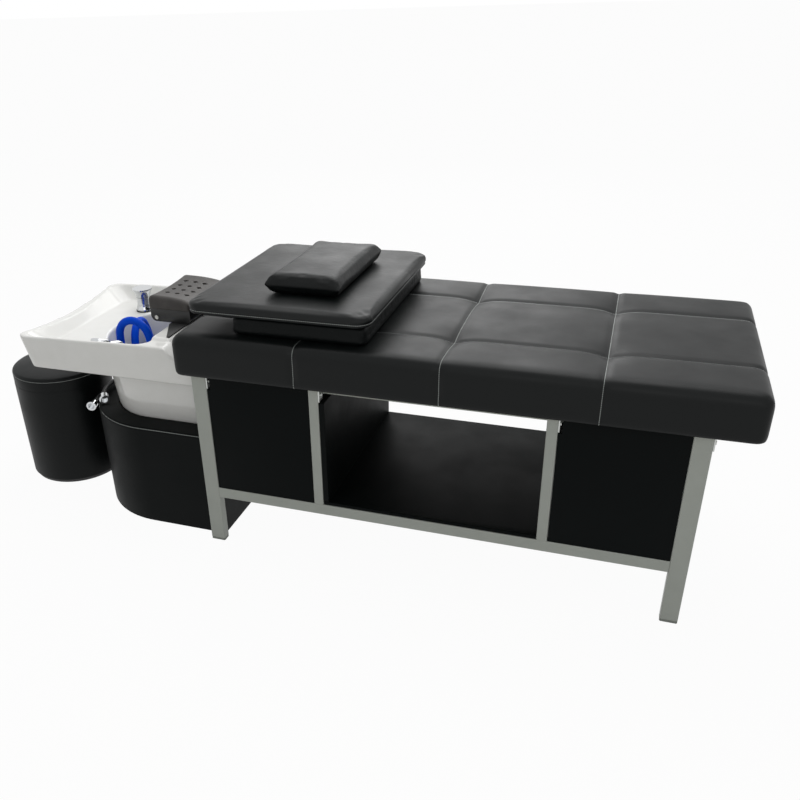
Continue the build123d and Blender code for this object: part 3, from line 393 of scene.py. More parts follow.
@dataclass(frozen=True)
class Plywood(Finish):
    """Rotary-cut birch plywood, sanded: long pale grain along the board."""

    def draw(self, tree: bpy.types.NodeTree, place: bpy.types.NodeSocket, bsdf: bpy.types.Node) -> None:
        """Draws the veneer's grain, about 6 mm wide and twenty times as long."""
        long = add_node(tree, "Mapping", {"Scale": (1.0, 20.0, 20.0)}, {"Vector": place})
        grain = add_node(
            tree, "TexNoise", {"Scale": 8.0, "Detail": 6.0, "Distortion": 0.6}, {"Vector": long.outputs[0]}
        )
        self.tint(tree, bsdf, grain.outputs[0], "b08d62", "d8bd92")


@dataclass(frozen=True)
class StudioPaint(Finish):
    """Matt white paint of the studio's floor, lifted where it is seen directly or in gloss.

    The lift leaves the floor's own shading in place, so it keeps the bed's shadow.
    """

    lift: float = 0.96

    def build(self) -> bpy.types.Material:
        """Makes the material with its lift."""
        material = super().build()
        tree = material.node_tree
        output = next(node for node in tree.nodes if node.bl_idname == "ShaderNodeOutputMaterial")
        paint = output.inputs["Surface"].links[0].from_socket
        seen = seen_directly(tree)
        glow = add_node(tree, "Emission", {"Color": (1, 1, 1, 1), "Strength": 1.0})
        share = math_node(tree, "MULTIPLY", seen, self.lift)
        mix = add_node(tree, "MixShader", links={0: share, 1: paint, 2: glow.outputs[0]})
        tree.links.new(mix.outputs[0], output.inputs["Surface"])
        return material


def seen_directly(tree: bpy.types.NodeTree) -> bpy.types.NodeSocket:
    """Gives 1 for rays from the camera and rays that metal, gloss or glass sends on, and 0 for light."""
    path = add_node(tree, "LightPath").outputs
    seen = path["Is Camera Ray"]
    for other in ("Is Glossy Ray", "Is Transmission Ray"):
        seen = math_node(tree, "MAXIMUM", seen, path[other])
    return seen


# ---- mesh helpers


def only(*objects: bpy.types.Object) -> None:
    """Selects these objects and nothing else, and makes the first one active."""
    bpy.ops.object.select_all(action="DESELECT")
    for obj in objects:
        obj.select_set(True)
    bpy.context.view_layer.objects.active = objects[0]


def settle(obj: bpy.types.Object) -> None:
    """Moves the object's place, turn and scale into its mesh."""
    only(obj)
    bpy.ops.object.transform_apply(location=True, rotation=True, scale=True)


def apply_modifiers(obj: bpy.types.Object) -> None:
    """Applies all of an object's modifiers, in order."""
    only(obj)
    for modifier in list(obj.modifiers):
        bpy.ops.object.modifier_apply(modifier=modifier.name)


def dress(obj: bpy.types.Object, material: bpy.types.Material) -> None:
    """Gives the whole object one material."""
    obj.data.materials.clear()
    obj.data.materials.append(material)


def merged_copy(node: str, name: str) -> bpy.types.Object:
    """Copies a CAD node's mesh as a new piece with its doubles merged.

    Args:
        node: The CAD node.
        name: The new piece's name.

    Returns:
        The new object, at the origin.
    """
    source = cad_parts[node]
    mesh = source.data.copy()
    mesh.name = name
    obj = bpy.data.objects.new(name, mesh)
    bpy.context.scene.collection.objects.link(obj)
    obj.data.materials.clear()
    only(obj)
    bpy.ops.object.mode_set(mode="EDIT")
    bpy.ops.mesh.select_all(action="SELECT")
    bpy.ops.mesh.remove_doubles(threshold=0.00002)
    bpy.ops.mesh.customdata_custom_splitnormals_clear()
    bpy.ops.mesh.tris_convert_to_quads()
    bpy.ops.object.mode_set(mode="OBJECT")
    return obj


def soften_edges(obj: bpy.types.Object, width: float, segments: int = 3) -> None:
    """Rounds every sharp edge of a merged CAD copy.

    Args:
        obj: The piece.
        width: The rounding's width in metres.
        segments: Faces across the rounding.
    """
    bevel = obj.modifiers.new("rounding", "BEVEL")
    bevel.limit_method = "ANGLE"
    bevel.angle_limit = math.radians(35)
    bevel.width = width
    bevel.segments = segments
    bevel.harden_normals = False
    apply_modifiers(obj)
    only(obj)
    bpy.ops.object.shade_smooth_by_angle(angle=math.radians(40))


def places(obj: bpy.types.Object) -> np.ndarray:
    """Reads a mesh's points as an array of rows."""
    rows = np.zeros(len(obj.data.vertices) * 3)
    obj.data.vertices.foreach_get("co", rows)
    return rows.reshape(-1, 3)


def outward(obj: bpy.types.Object) -> np.ndarray:
    """Reads the points' normals as an array of rows."""
    rows = np.zeros(len(obj.data.vertices) * 3)
    obj.data.vertex_normals.foreach_get("vector", rows)
    return rows.reshape(-1, 3)


def put(obj: bpy.types.Object, rows: np.ndarray) -> None:
    """Writes a mesh's points from an array of rows."""
    obj.data.vertices.foreach_set("co", rows.ravel())
    obj.data.update()


def ridge(values: np.ndarray, at: float, width: float) -> np.ndarray:
    """Gives 1 where the values are at one place and falls to 0 over a width on either side."""
    return np.exp(-(((values - at) / width) ** 2))


def panel_share(values: np.ndarray, cuts: tuple[float, ...]) -> np.ndarray:
    """Gives 0 in the middle of the panel between two cuts and 1 at its edges."""
    edges = np.array(cuts)
    panel = np.clip(np.searchsorted(edges, values, side="right") - 1, 0, len(cuts) - 2)
    middle = (edges[panel] + edges[panel + 1]) / 2
    half = (edges[panel + 1] - edges[panel]) / 2
    return np.clip(np.abs(values - middle) / half, 0, 1)


def voxel_remesh(obj: bpy.types.Object, size: float) -> None:
    """Rebuilds a closed mesh from voxels of one size."""
    remesh = obj.modifiers.new("voxels", "REMESH")
    remesh.mode = "VOXEL"
    remesh.voxel_size = size
    remesh.use_smooth_shade = True
    apply_modifiers(obj)


def relax(obj: bpy.types.Object, rounds: int) -> None:
    """Smooths a mesh evenly, which rounds its edges."""
    smooth = obj.modifiers.new("relax", "SMOOTH")
    smooth.factor = 0.5
    smooth.iterations = rounds
    apply_modifiers(obj)


def inflate(obj: bpy.types.Object, cap: float, pinned_below: float) -> None:
    """Blows a cushion up with a cloth simulation and keeps the result in its mesh.

    Args:
        obj: The cushion, already remeshed.
        cap: The furthest that a point may move, in metres.
        pinned_below: Points under this height stay where they are.
    """
    pressure, frames = 4.0, 14
    rest = places(obj)
    pins = obj.vertex_groups.new(name="resting")
    pins.add([int(i) for i in np.nonzero(rest[:, 2] < pinned_below)[0]], 1.0, "REPLACE")
    cloth = obj.modifiers.new("cover", "CLOTH")
    settings = cloth.settings
    settings.quality = 5
    settings.mass = 0.4
    settings.tension_stiffness = 20
    settings.compression_stiffness = 20
    settings.shear_stiffness = 10
    settings.bending_stiffness = 0.8
    settings.use_pressure = True
    settings.uniform_pressure_force = pressure
    settings.effector_weights.gravity = 0.0
    settings.vertex_group_mass = pins.name
    cloth.point_cache.frame_start = 1
    cloth.point_cache.frame_end = frames
    scene = bpy.context.scene
    for step in range(1, frames + 1):
        scene.frame_set(step)
    evaluated = obj.evaluated_get(bpy.context.evaluated_depsgraph_get())
    move = places(evaluated) - rest
    size = np.linalg.norm(move, axis=1, keepdims=True)
    move *= np.minimum(1.0, cap / np.maximum(size, 1e-9))
    only(obj)
    bpy.ops.object.modifier_apply(modifier=cloth.name)
    put(obj, rest + move)
    obj.vertex_groups.clear()
    scene.frame_set(1)


def fit(obj: bpy.types.Object, low: Point, high: Point) -> None:
    """Stretches a mesh so that it just fills a box.

    Args:
        obj: The piece.
        low: The box's lowest corner.
        high: The box's highest corner.
    """
    rows = places(obj)
    start, end = rows.min(axis=0), rows.max(axis=0)
    put(obj, np.array(low) + (rows - start) / (end - start) * (np.array(high) - np.array(low)))


def subdivide(obj: bpy.types.Object) -> None:
    """Applies one Catmull-Clark level and shades the mesh smooth."""
    modifier = obj.modifiers.new("smooth", "SUBSURF")
    modifier.levels = modifier.render_levels = 1
    apply_modifiers(obj)
    only(obj)
    bpy.ops.object.shade_smooth()


def slab(name: str, low: Point, high: Point, corner: float, top: float, bottom: float) -> bpy.types.Object:
    """Models a cushion's rounded block: a cube whose upright, upper and lower edges are bevelled.

    Args:
        name: The piece's name.
        low: Lowest corner.
        high: Highest corner.
        corner: Radius of the upright edges.
        top: Radius of the upper edges.
        bottom: Radius of the lower edges.

    Returns:
        The new object.
    """
    centre = [(a + b) / 2 for a, b in zip(low, high)]
    bpy.ops.mesh.primitive_cube_add(size=1, location=centre)
    obj = bpy.context.active_object
    obj.name = name
    obj.scale = [b - a for a, b in zip(low, high)]
    settle(obj)

    def bevel(test, width: float, segments: int) -> None:
        """Bevels the edges that pass a test."""
        bpy.ops.object.mode_set(mode="EDIT")
        bpy.ops.mesh.select_mode(type="EDGE")
        bpy.ops.mesh.select_all(action="DESELECT")
        mesh = bmesh.from_edit_mesh(obj.data)
        for edge in mesh.edges:
            if test(*(v.co for v in edge.verts)):
                edge.select = True
        bmesh.update_edit_mesh(obj.data)
        bpy.ops.mesh.bevel(offset=width, segments=segments, affect="EDGES")
        bpy.ops.object.mode_set(mode="OBJECT")

    bevel(lambda a, b: (a - b).xy.length < 1e-6, corner, 8)
    bevel(lambda a, b: min(a.z, b.z) > high[2] - 1e-5, top, 6)
    bevel(lambda a, b: max(a.z, b.z) < low[2] + 1e-5, bottom, 4)
    return obj


def cushion(
    name: str,
    low: Point,
    high: Point,
    corner: float,
    top: float,
    bottom: float,
    voxel: float,
    cap: float,
    crown: float,
) -> bpy.types.Object:
    """Makes a stuffed cushion: a rounded block, remeshed, crowned and blown up.

    Args:
        name: The piece's name.
        low: Lowest corner.
        high: Highest corner.
        corner: Radius of the upright edges.
        top: Radius of the upper edges.
        bottom: Radius of the lower edges.
        voxel: Size of the remesh.
        cap: The furthest that the cloth simulation may move a point.
        crown: How far the middle of the top stands above its edges.

    Returns:
        The new object.
    """
    inset = cap * 0.6
    shrunk_low = (low[0] + inset, low[1] + inset, low[2])
    shrunk_high = (high[0] - inset, high[1] - inset, high[2] - crown)
    obj = slab(name, shrunk_low, shrunk_high, corner, top, bottom)
    voxel_remesh(obj, voxel)
    relax(obj, 3)
    half = [(b - a) / 2 for a, b in zip(shrunk_low, shrunk_high)]
    middle = [(a + b) / 2 for a, b in zip(shrunk_low, shrunk_high)]
    rows = places(obj)
    u = np.minimum(np.abs(rows[:, 0] - middle[0]) / half[0], 1.0)
    v = np.minimum(np.abs(rows[:, 1] - middle[1]) / half[1], 1.0)
    lift = np.maximum(0.0, (rows[:, 2] - low[2]) / (high[2] - low[2]))
    rows[:, 2] += crown * lift * (1 - u**4) * (1 - v**4)
    put(obj, rows)
    inflate(obj, cap, low[2] + 0.25 * (high[2] - low[2]))
    subdivide(obj)
    fit(obj, low, high)
    return obj


def hose_curve(name: str, points: tuple[Point, ...], radius: float) -> bpy.types.Object:
    """Makes a hose as a NURBS curve with a round section.

    Args:
        name: The piece's name.
        points: The route's control points in metres.
        radius: The hose's radius in metres.

    Returns:
        The new curve object.
    """
    curve = bpy.data.curves.new(name, "CURVE")
    curve.dimensions = "3D"
    curve.bevel_depth = radius
    curve.bevel_resolution = 6
    curve.resolution_u = 10
    curve.use_fill_caps = True
    spline = curve.splines.new("NURBS")
    spline.points.add(len(points) - 1)
    for knot, place in zip(spline.points, points):
        knot.co = (*place, 1.0)
    spline.order_u = 3
    spline.use_endpoint_u = True
    obj = bpy.data.objects.new(name, curve)
    bpy.context.scene.collection.objects.link(obj)
    return obj


# ---- the camera, the room and the lamps


@dataclass
class Studio:
    """The camera at the photograph's place, a pale floor and soft lamps."""

    focal: float = 36.79
    shift: tuple[float, float] = (0.0621, 0.0449)
    place: Point = (0.7318, -1.891, 1.3066)
    yaw: float = -19.84
    pitch: float = 28.24
    roll: float = 1.945

    def camera(self) -> None:
        """Sets the camera up."""
        data = bpy.data.cameras.new("photographer")
        data.lens = self.focal
        data.sensor_width = 36.0
        data.shift_x, data.shift_y = self.shift
        data.clip_start, data.clip_end = 0.05, 300.0
        obj = bpy.data.objects.new("photographer", data)
        bpy.context.scene.collection.objects.link(obj)
        yaw, pitch, roll = (math.radians(a) for a in (self.yaw, self.pitch, self.roll))
        forward = Vector((math.sin(yaw) * math.cos(pitch), math.cos(yaw) * math.cos(pitch), -math.sin(pitch)))
        right = Vector((math.cos(yaw), -math.sin(yaw), 0.0))
        down = forward.cross(right)
        right, down = (
            right * math.cos(roll) + down * math.sin(roll),
            down * math.cos(roll) - right * math.sin(roll),
        )
        turn = Matrix((right, -down, -forward)).transposed()
        obj.matrix_world = Matrix.Translation(self.place) @ turn.to_4x4()
        bpy.context.scene.camera = obj

    def floor(self) -> None:
        """Lays a pale floor that keeps the object's shadow."""
        bpy.ops.mesh.primitive_plane_add(size=200, location=(0, 0, -0.0005))
        obj = bpy.context.active_object
        obj.name = "studio_floor"
        finish = StudioPaint("studio_floor_paint", "d9d9d7", 0.95, 1.2)
        dress(obj, finish.build())

    def sky(self) -> None:
        """Makes the background white where it is seen directly or in gloss, and dim as a light."""
        world = bpy.data.worlds.new("studio")
        bpy.context.scene.world = world
        world.use_nodes = True
        tree = world.node_tree
        tree.nodes.clear()
        seen = seen_directly(tree)
        dim = add_node(tree, "Background", {"Color": (1, 1, 1, 1), "Strength": 0.40})
        white = add_node(tree, "Background", {"Color": (1, 1, 1, 1), "Strength": 1.0})
        mix = add_node(tree, "MixShader", links={0: seen, 1: dim.outputs[0], 2: white.outputs[0]})
        add_node(tree, "OutputWorld", links={"Surface": mix.outputs[0]})

    def lamp(self, name: str, place: Point, aim: Point, size: float, watts: float) -> None:
        """Adds a square soft lamp.

        Args:
            name: The lamp's name.
            place: Where it hangs.
            aim: The point that it faces.
            size: Its side in metres.
            watts: Its power.
        """
        data = bpy.data.lights.new(name, "AREA")
        data.size = size
        data.energy = watts
        obj = bpy.data.objects.new(name, data)
        obj.location = place
        obj.rotation_euler = (Vector(aim) - Vector(place)).to_track_quat("-Z", "Y").to_euler()
        bpy.context.scene.collection.objects.link(obj)

    def build(self) -> None:
        """Sets up camera, floor, background and lamps."""
        self.camera()
        self.floor()
        self.sky()
        self.lamp("overhead", (0.1, 0.9, 3.2), (0.0, 0.0, 0.5), 2.6, 52)
        self.lamp("back", (-0.9, 4.2, 2.7), (-0.1, 0.0, 0.5), 2.4, 40)
        self.lamp("front", (0.9, -3.0, 2.0), (0.0, 0.0, 0.4), 2.2, 10)
        scene = bpy.context.scene
        scene.view_settings.view_transform = "Standard"
        log.info("studio ready")


# ---- hoses


@dataclass
class Hoses:
    """The blue shower hose in the bowl and the two black supply hoses between the drums."""

    shower_radius: float = 0.011
    supply_radius: float = 0.006
    # from the ferrule across the bowl, up in two standing loops and down to the hand shower
    shower_route: tuple[Point, ...] = (
        (-0.311, 0.040, 0.385), (-0.347, 0.040, 0.385), (-0.379, 0.050, 0.370), (-0.405, 0.063, 0.349),
        (-0.429, 0.078, 0.327), (-0.456, 0.090, 0.307), (-0.489, 0.096, 0.296), (-0.525, 0.095, 0.297),
        (-0.556, 0.090, 0.313), (-0.580, 0.086, 0.340), (-0.596, 0.084, 0.372), (-0.604, 0.083, 0.407),
        (-0.608, 0.079, 0.442), (-0.607, 0.066, 0.475), (-0.601, 0.039, 0.497), (-0.593, 0.005, 0.498),
        (-0.586, -0.023, 0.477), (-0.582, -0.034, 0.444), (-0.581, -0.033, 0.408), (-0.579, -0.022, 0.374),
        (-0.572, -0.003, 0.344), (-0.559, 0.019, 0.319), (-0.538, 0.040, 0.299), (-0.513, 0.054, 0.288),
        (-0.484, 0.059, 0.284), (-0.450, 0.051, 0.287), (-0.425, 0.028, 0.300), (-0.419, -0.001, 0.319),
        (-0.430, -0.028, 0.340), (-0.452, -0.045, 0.362), (-0.478, -0.054, 0.385), (-0.502, -0.055, 0.412),
        (-0.517, -0.052, 0.444), (-0.519, -0.049, 0.479), (-0.530, -0.049, 0.512), (-0.558, -0.050, 0.530),
        (-0.591, -0.051, 0.526), (-0.614, -0.051, 0.501), (-0.617, -0.050, 0.466), (-0.620, -0.045, 0.431),
        (-0.624, -0.039, 0.396), (-0.623, -0.037, 0.360), (-0.607, -0.043, 0.328), (-0.580, -0.059, 0.313),
        (-0.553, -0.080, 0.319), (-0.535, -0.101, 0.347), (-0.538, -0.110, 0.378),
    )
    cold_route: tuple[Point, ...] = (
        (-0.6505, 0.133, 0.439), (-0.6505, 0.133, 0.407), (-0.661, 0.122, 0.378), (-0.674, 0.107, 0.353),
        (-0.689, 0.089, 0.332), (-0.705, 0.068, 0.313), (-0.721, 0.037, 0.294), (-0.730, 0.009, 0.282),
        (-0.736, -0.022, 0.272), (-0.737, -0.053, 0.267), (-0.727, -0.084, 0.267),
    )
    hot_route: tuple[Point, ...] = (
        (-0.6375, 0.133, 0.439), (-0.6375, 0.133, 0.407), (-0.640, 0.125, 0.376), (-0.650, 0.111, 0.350),
        (-0.664, 0.089, 0.331), (-0.678, 0.063, 0.320), (-0.691, 0.026, 0.313), (-0.696, -0.006, 0.311),
        (-0.694, -0.038, 0.313), (-0.686, -0.068, 0.314), (-0.672, -0.097, 0.316), (-0.653, -0.123, 0.316),
    )

    def build(self) -> None:
        blue = Moulded("extruded_silicone_blue", "0040c2", 0.46, 1.18, "0050dc", 0.0012, 0.1).build()
        black = Moulded("extruded_rubber_black", "151616", 0.5, 1.5, "232424", 0.001, 0.15).build()
        shower = hose_curve("shower_hose_tube", self.shower_route, self.shower_radius)
        dress(shower, blue)
        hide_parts("shower_hose")
        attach(shower, Body.BED.value)
        for name, route in (("cold", self.cold_route), ("hot", self.hot_route)):
            hose = hose_curve(f"supply_tube_{name}", route, self.supply_radius)
            dress(hose, black)
            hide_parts(f"supply_hose_{name}")
            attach(hose, Body.BED.value)
        log.info("hoses laid")


# ---- the bench


@dataclass
class Bench:
    """The mattress, the steel frame, and the boards that close its bays."""

    length: float = 1.328
    half_width: float = 0.300
    underside: float = 0.497
    top: float = 0.607
    bulge: float = 0.005
    cross_seams: tuple[float, ...] = (0.321, 0.667, 1.010)
    long_seams: tuple[float, ...] = (-0.145, 0.145)
    seam_drop: float = 0.03

    def mattress(self) -> None:
        """Makes the mattress with its sewn panels."""
        seams = tuple(Seam(0, HEAD_X + x) for x in self.cross_seams)
        low = (-ANYWHERE, -ANYWHERE, self.top - self.seam_drop)
        seams += tuple(Seam(1, y, low=low) for y in self.long_seams)
        cover = Leatherette("pvc_leatherette_mattress", "050808", 0.43, 1.27, seams=seams)
        low = (HEAD_X, -self.half_width, self.underside)
        high = (HEAD_X + self.length + self.bulge, self.half_width, self.top)
        obj = slab("mattress_cushion", low, high, corner=0.020, top=0.026, bottom=0.009)
        voxel_remesh(obj, 0.009)
        relax(obj, 2)
        subdivide(obj)
        fit(obj, low, high)
        self.quilt(obj)
        dress(obj, cover.build())
        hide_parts("mattress")
        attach(obj, Body.BED.value)
        log.info("mattress: %d faces", len(obj.data.polygons))

    def quilt(self, obj: bpy.types.Object) -> None:
        """Pulls the cover in along the seams, deeper where two cross, and puffs the panels between."""
        depth, width = 0.0032, 0.008
        tuft_depth, tuft_width = 0.011, 0.036
        panel_puff, hem = 0.002, 0.020
        rows = places(obj)
        pull = np.zeros(len(rows))
        for x in self.cross_seams:
            pull = np.maximum(pull, ridge(rows[:, 0], HEAD_X + x, width))
        for y in self.long_seams:
            pull = np.maximum(pull, ridge(rows[:, 1], y, width) * (rows[:, 2] > self.top - self.seam_drop))
        # the seams die out above the flat underside, so that the board below stays covered
        pull *= np.clip((rows[:, 2] - self.underside) / hem - 0.5, 0, 1)
        rows -= outward(obj) * (depth * pull)[:, None]
        upper = np.clip((rows[:, 2] - self.underside) / (self.top - self.underside) * 4 - 2.6, 0, 1)
        for x in self.cross_seams:
            for y in self.long_seams:
                away = np.hypot((rows[:, 0] - HEAD_X - x) * 1.25, (rows[:, 1] - y) * 0.8)
                rows[:, 2] -= tuft_depth * upper * np.exp(-((away / tuft_width) ** 1.4))
        u = panel_share(rows[:, 0] - HEAD_X, (0.0, *self.cross_seams, self.length + self.bulge))
        v = panel_share(rows[:, 1], (-self.half_width, *self.long_seams, self.half_width))
        rows[:, 2] -= panel_puff * upper * (1 - (1 - u**3) * (1 - v**3))
        put(obj, rows)

    def frame_finish(self) -> None:
        """Dresses the steel frame and what is fixed to it."""
        coat = PowderCoat("powder_coat_silver_grey", "a2a69f", 0.42, 1.45).build()
        zinc = BareMetal("zinc_plated_steel", "b9bbb8", 0.34, spread=0.08).build()
        plastic = Moulded("injection_moulded_black", "101111", 0.5, 1.5, "1b1c1c").build()
        caps = Moulded("moulded_polyethylene_grey", "7b7f79", 0.55, 1.5, "868a84").build()
        for name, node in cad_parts.items():
            if name.startswith(("leg_head", "leg_foot", "post_", "lower_", "upper_")) or name == "basin_rail":
                dress(node, coat)
            elif name in ("board_brackets", "bracket_screws"):
                dress(node, zinc)
            elif name == "leg_caps":
                dress(node, caps)
            elif name == "stool_base":
                dress(node, plastic)

    def boards(self) -> None:
        """Makes the leatherette boards with soft wrapped edges."""
        cover = Leatherette("pvc_leatherette_boards", "050808", 0.5, 1.14, wrinkle=0.05).build()
        shelf = Leatherette("pvc_leatherette_shelf", "050808", 0.50, 1.12).build()
        names = [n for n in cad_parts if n.startswith(("panel_", "divider_")) or n == "shelf_board"]
        for name in names:
            obj = merged_copy(name, f"{name}_wrapped")
            soften_edges(obj, 0.002, 3)
            dress(obj, shelf if name == "shelf_board" else cover)
            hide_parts(name)
            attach(obj, Body.BED.value)
        log.info("boards wrapped: %d", len(names))

    def build(self) -> None:
        """Builds and dresses the bench."""
        self.mattress()
        self.frame_finish()
        self.boards()
        wood = Plywood("birch_plywood", "c4a578", 0.6).build()
        for name in ("mattress_board", "pedestal_base", "basin_cradle", "cradle_posts"):
            dress(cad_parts[name], wood)


# ---- the booster and the pillow


@dataclass
class Booster:
    """The loose booster cushion, a block with a wider pad, and the small pillow on it."""

    block_low: Point = (HEAD_X + 0.150, -0.262, 0.6073)
    block_high: Point = (HEAD_X + 0.488, 0.262, 0.6523)
    pad_low: Point = (HEAD_X + 0.038, -0.276, 0.6523)
    pad_high: Point = (HEAD_X + 0.500, 0.276, 0.6863)
    pillow_centre: Point = (HEAD_X + 0.307, -0.015, 0.6866)
    pillow_size: Point = (0.188, 0.344, 0.050)
    pillow_round: float = 0.024
    seam_height: float = 0.662

    def block(self) -> None:
        """Makes the block, with small creases in its cover."""
        cover = Leatherette("pvc_leatherette_block", "050808", 0.48, 1.2, wrinkle=0.5)
        obj = cushion(
            "booster_block_cushion", self.block_low, self.block_high,
            corner=0.018, top=0.006, bottom=0.006, voxel=0.007, cap=0.002, crown=0.0,
        )
        dress(obj, cover.build())
        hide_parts("booster_block")
        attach(obj, Body.BOOSTER.value)

    def pad(self) -> None:
        """Makes the pad, with a sewn seam round its lower half."""
        seams = (Seam(2, self.seam_height), Seam(2, self.seam_height + 0.0045, stitched=False))
        cover = Leatherette("pvc_leatherette_pad", "050808", 0.43, 1.30, seams=seams, wrinkle=0.08)
        obj = cushion(
            "booster_pad_cushion", self.pad_low, self.pad_high,
            corner=0.038, top=0.009, bottom=0.011, voxel=0.005, cap=0.0025, crown=0.002,
        )
        rows = places(obj)
        sunk = 0.0025 * ridge(rows[:, 2], self.seam_height, 0.003)
        put(obj, rows - outward(obj) * np.stack((sunk, sunk, 0 * sunk), axis=1))
        dress(obj, cover.build())
        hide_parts("booster_pad")
        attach(obj, Body.BOOSTER.value)

    def pillow(self) -> None:
        """Makes the pillow: a knife-edged cushion whose sides pull in between pointed corners."""
        cover = Leatherette("pvc_leatherette_pillow", "050808", 0.42, 1.26, wrinkle=0.12)
        bpy.ops.mesh.primitive_cube_add(size=2, location=(0, 0, 0))
        obj = bpy.context.active_object
        obj.name = "pillow_cushion"
        bpy.ops.object.mode_set(mode="EDIT")
        bpy.ops.mesh.subdivide(number_cuts=23)
        bpy.ops.object.mode_set(mode="OBJECT")
        half_x, half_y, thick = self.pillow_size[0] / 2, self.pillow_size[1] / 2, self.pillow_size[2]
        u, v, w = places(obj).T
        inward = ((1 - np.abs(share)) * half for share, half in ((u, half_x), (v, half_y)))
        swell_u, swell_v = (
            np.sqrt(np.clip(1 - (1 - np.minimum(reach / self.pillow_round, 1)) ** 2, 0, 1))
            for reach in inward
        )
        crown = 1 + 0.10 * (1 - u * u) * (1 - v * v)
        rise = thick / 2 * (0.10 + 0.86 * swell_u * swell_v * np.where(w > 0, crown, 1)) * w
        rows = np.stack(
            (
                self.pillow_centre[0] + half_x * u * (1 - 0.045 * (1 - v * v)),
                self.pillow_centre[1] + half_y * v * (1 - 0.035 * (1 - u * u)),
                self.pillow_centre[2] + thick / 2 + rise,
            ),
            axis=1,
        )
        put(obj, rows)
        voxel_remesh(obj, 0.004)
        relax(obj, 1)
        inflate(obj, 0.0015, self.pillow_centre[2] + 0.004)
        subdivide(obj)
        fit(
            obj,
            (self.pillow_centre[0] - half_x, self.pillow_centre[1] - half_y, self.pillow_centre[2]),
            (self.pillow_centre[0] + half_x, self.pillow_centre[1] + half_y, self.pillow_centre[2] + thick),
        )
        dress(obj, cover.build())
        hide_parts("pillow")
        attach(obj, Body.PILLOW.value)

    def build(self) -> None:
        """Builds the block, the pad and the pillow."""
        self.block()
        self.pad()
        self.pillow()
        log.info("booster and pillow made")


# ---- the basin and its pedestal


@dataclass
class Basin:
    """The ceramic basin on its leatherette pedestal, with the neck rest, mixer and drain."""

    voxel: float = 0.0043
    neck_dip: float = 0.006
    neck_slope: float = 0.011

    def bowl(self) -> None:
        """Makes the ceramic with its rims and corners rounded as cast ware is."""
        obj = merged_copy("basin", "basin_ceramic")
        voxel_remesh(obj, self.voxel)
        relax(obj, 6)
        only(obj)
        bpy.ops.object.shade_smooth()
        dress(obj, Glaze("glazed_vitreous_china", "f2f2ee", 0.07).build())
        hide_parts("basin")
        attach(obj, Body.BED.value)
        log.info("basin: %d faces", len(obj.data.polygons))

    def pedestal(self) -> None:
        """Wraps the pedestal's shell and its top board."""
        seam = Seam(2, 0.2965)
        cover = Leatherette(
            "pvc_leatherette_pedestal", "050808", 0.5, 1.16, seams=(seam,), wrinkle=0.04
        ).build()
        for name in ("pedestal_shell", "pedestal_top"):
            obj = merged_copy(name, f"{name}_wrapped")
            only(obj)
            bpy.ops.object.shade_smooth_by_angle(angle=math.radians(35))
            dress(obj, cover)
            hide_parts(name)
            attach(obj, Body.BED.value)

    def saddle(self, gel: bpy.types.Object) -> None:
        """Sinks the gel pad's middle for the neck, and rounds its upper edge down to the bed."""
        rows = places(gel)
        low, high = rows.min(axis=0), rows.max(axis=0)
        upper = np.clip((rows[:, 2] - low[2]) / (high[2] - low[2]), 0, 1)
        side = (rows[:, 1] - low[1]) / (high[1] - low[1]) * 2 - 1
        along = (rows[:, 0] - low[0]) / (high[0] - low[0])
        rows[:, 2] -= upper * (self.neck_dip * (1 - side**2) + self.neck_slope * along**3)
        put(gel, rows)

    def neck_rest(self) -> None:
        """Makes the gel pad, its tilting shell and the mat below."""
        gel = merged_copy("neck_rest_pad", "neck_rest_gel")
        voxel_remesh(gel, 0.0016)
        relax(gel, 1)
        self.saddle(gel)
        only(gel)
        bpy.ops.object.shade_smooth()
        dress(gel, Moulded("cast_gel_rubber", "1f1d1c", 0.5, 1.42, "4a4643", 0.0024, 0.7).build())
        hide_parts("neck_rest_pad")
        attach(gel, Body.NECK_REST.value)
        plastic = Moulded("moulded_plastic_neck_rest", "0f1010", 0.42, 1.5, "191a1a").build()
        rubber = Moulded("rubber_mat", "1d1e1e", 0.6, 1.5, "2a2b2b").build()
        for name, body, look, slot in (
            ("neck_rest_shell", Body.NECK_REST, plastic, Slot.PLASTIC),
            ("neck_rest_base", Body.BED, plastic, Slot.PLASTIC),
            ("neck_saddle", Body.BED, rubber, Slot.RUBBER),
        ):
            obj = merged_copy(name, f"{name}_moulded")
            soften_edges(obj, 0.0012, 2)
            dress(obj, look)
            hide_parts(name)
            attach(obj, body.value)

    def fittings(self) -> None:
        """Dresses the metal and plastic fittings."""
        chrome = BareMetal("chrome_plate", "c9cbcd", 0.09, spread=0.03).build()
        brushed = (1.0, 30.0, 1.0)
        stainless = BareMetal("brushed_stainless", "b4b4b1", 0.3, stretch=brushed, spread=0.1).build()
        white = Moulded("moulded_polypropylene_white", "dcdcd9", 0.45, 1.49, "e4e4e1").build()
        rubber = Moulded("moulded_rubber_black", "131414", 0.6, 1.5, "1e1f1f").build()
        looks = {
            "mixer_nut": chrome, "hose_ferrule": chrome, "mixer_body": chrome, "mixer_knob": chrome,
            "hand_shower": chrome, "supply_nut_cold": chrome, "supply_nut_hot": chrome,
            "drain_flange": stainless, "drain_strainer": stainless, "neck_rest_screws": stainless,
            "drain_nut": white, "drain_trap": white, "mixer_gasket": rubber, "spray_face": rubber,
        }
        for name, look in looks.items():
            dress(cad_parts[name], look)

    def build(self) -> None:
        """Builds the basin and what stands on and under it."""
        self.bowl()
        self.pedestal()
        self.neck_rest()
        self.fittings()


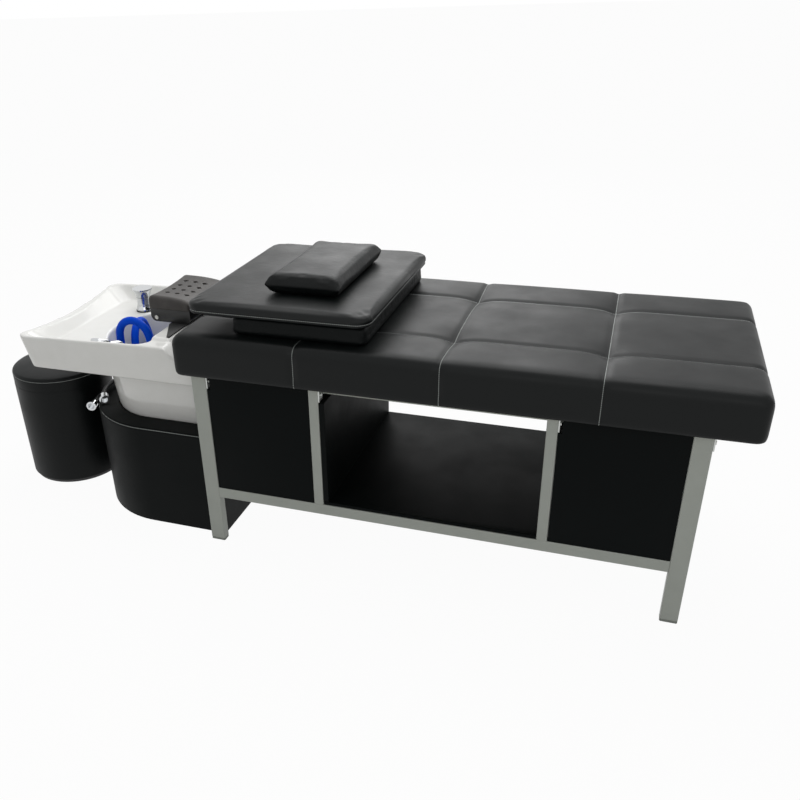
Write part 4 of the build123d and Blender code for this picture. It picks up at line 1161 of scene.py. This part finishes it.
@dataclass
class Stool:
    """The round stool beside the basin."""

    centre: tuple[float, float] = (HEAD_X - 0.584, 0.0)
    radius: float = 0.142
    seat_low: float = 0.309
    seat_high: float = 0.357

    def seat(self, cover: bpy.types.Material) -> None:
        """Makes the crowned seat cushion."""
        height = self.seat_high - self.seat_low
        bpy.ops.mesh.primitive_cylinder_add(
            vertices=96, radius=self.radius - 0.0005, depth=height,
            location=(*self.centre, self.seat_low + height / 2),
        )
        obj = bpy.context.active_object
        obj.name = "stool_seat_cushion"
        settle(obj)
        bpy.ops.object.mode_set(mode="EDIT")
        bpy.ops.mesh.select_mode(type="FACE")
        bpy.ops.mesh.select_all(action="DESELECT")
        mesh = bmesh.from_edit_mesh(obj.data)
        for face in mesh.faces:
            if face.normal.z > 0.9:
                face.select = True
        bmesh.update_edit_mesh(obj.data)
        bpy.ops.mesh.bevel(offset=0.008, segments=5, affect="EDGES")
        bpy.ops.mesh.select_all(action="DESELECT")
        mesh = bmesh.from_edit_mesh(obj.data)
        for face in mesh.faces:
            if face.normal.z > 0.999 and len(face.verts) > 8:
                face.select = True
        bmesh.update_edit_mesh(obj.data)
        for step in range(9):
            bpy.ops.mesh.inset(thickness=0.0135)
        bpy.ops.object.mode_set(mode="OBJECT")
        rows = places(obj)
        reach = np.hypot(rows[:, 0] - self.centre[0], rows[:, 1] - self.centre[1]) / self.radius
        top = rows[:, 2] > self.seat_high - 0.009
        rows[:, 2] -= np.where(top, 0.007 * np.clip(reach, 0, 1) ** 3, 0)
        put(obj, rows)
        only(obj)
        bpy.ops.object.shade_smooth_by_angle(angle=math.radians(50))
        dress(obj, cover)
        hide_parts("stool_seat")
        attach(obj, Body.STOOL.value)

    def shell(self, cover: bpy.types.Material) -> None:
        """Wraps the stool's shell."""
        shell = merged_copy("stool_shell", "stool_shell_wrapped")
        only(shell)
        bpy.ops.object.shade_smooth_by_angle(angle=math.radians(35))
        dress(shell, cover)
        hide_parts("stool_shell")
        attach(shell, Body.STOOL.value)

    def build(self) -> None:
        """Builds the stool, with a sewn seam round the seat."""
        seam = Seam(2, self.seat_high - 0.016)
        cover = Leatherette(
            "pvc_leatherette_stool", "050808", 0.45, 1.24, worn="0a0d0d", seams=(seam,), wrinkle=0.06
        ).build()
        self.seat(cover)
        self.shell(cover)
        log.info("stool made")


def main() -> None:
    """Builds the scene in order."""
    Studio().build()
    Hoses().build()
    Bench().build()
    Booster().build()
    Basin().build()
    Stool().build()


if __name__ == "__main__":
    main()
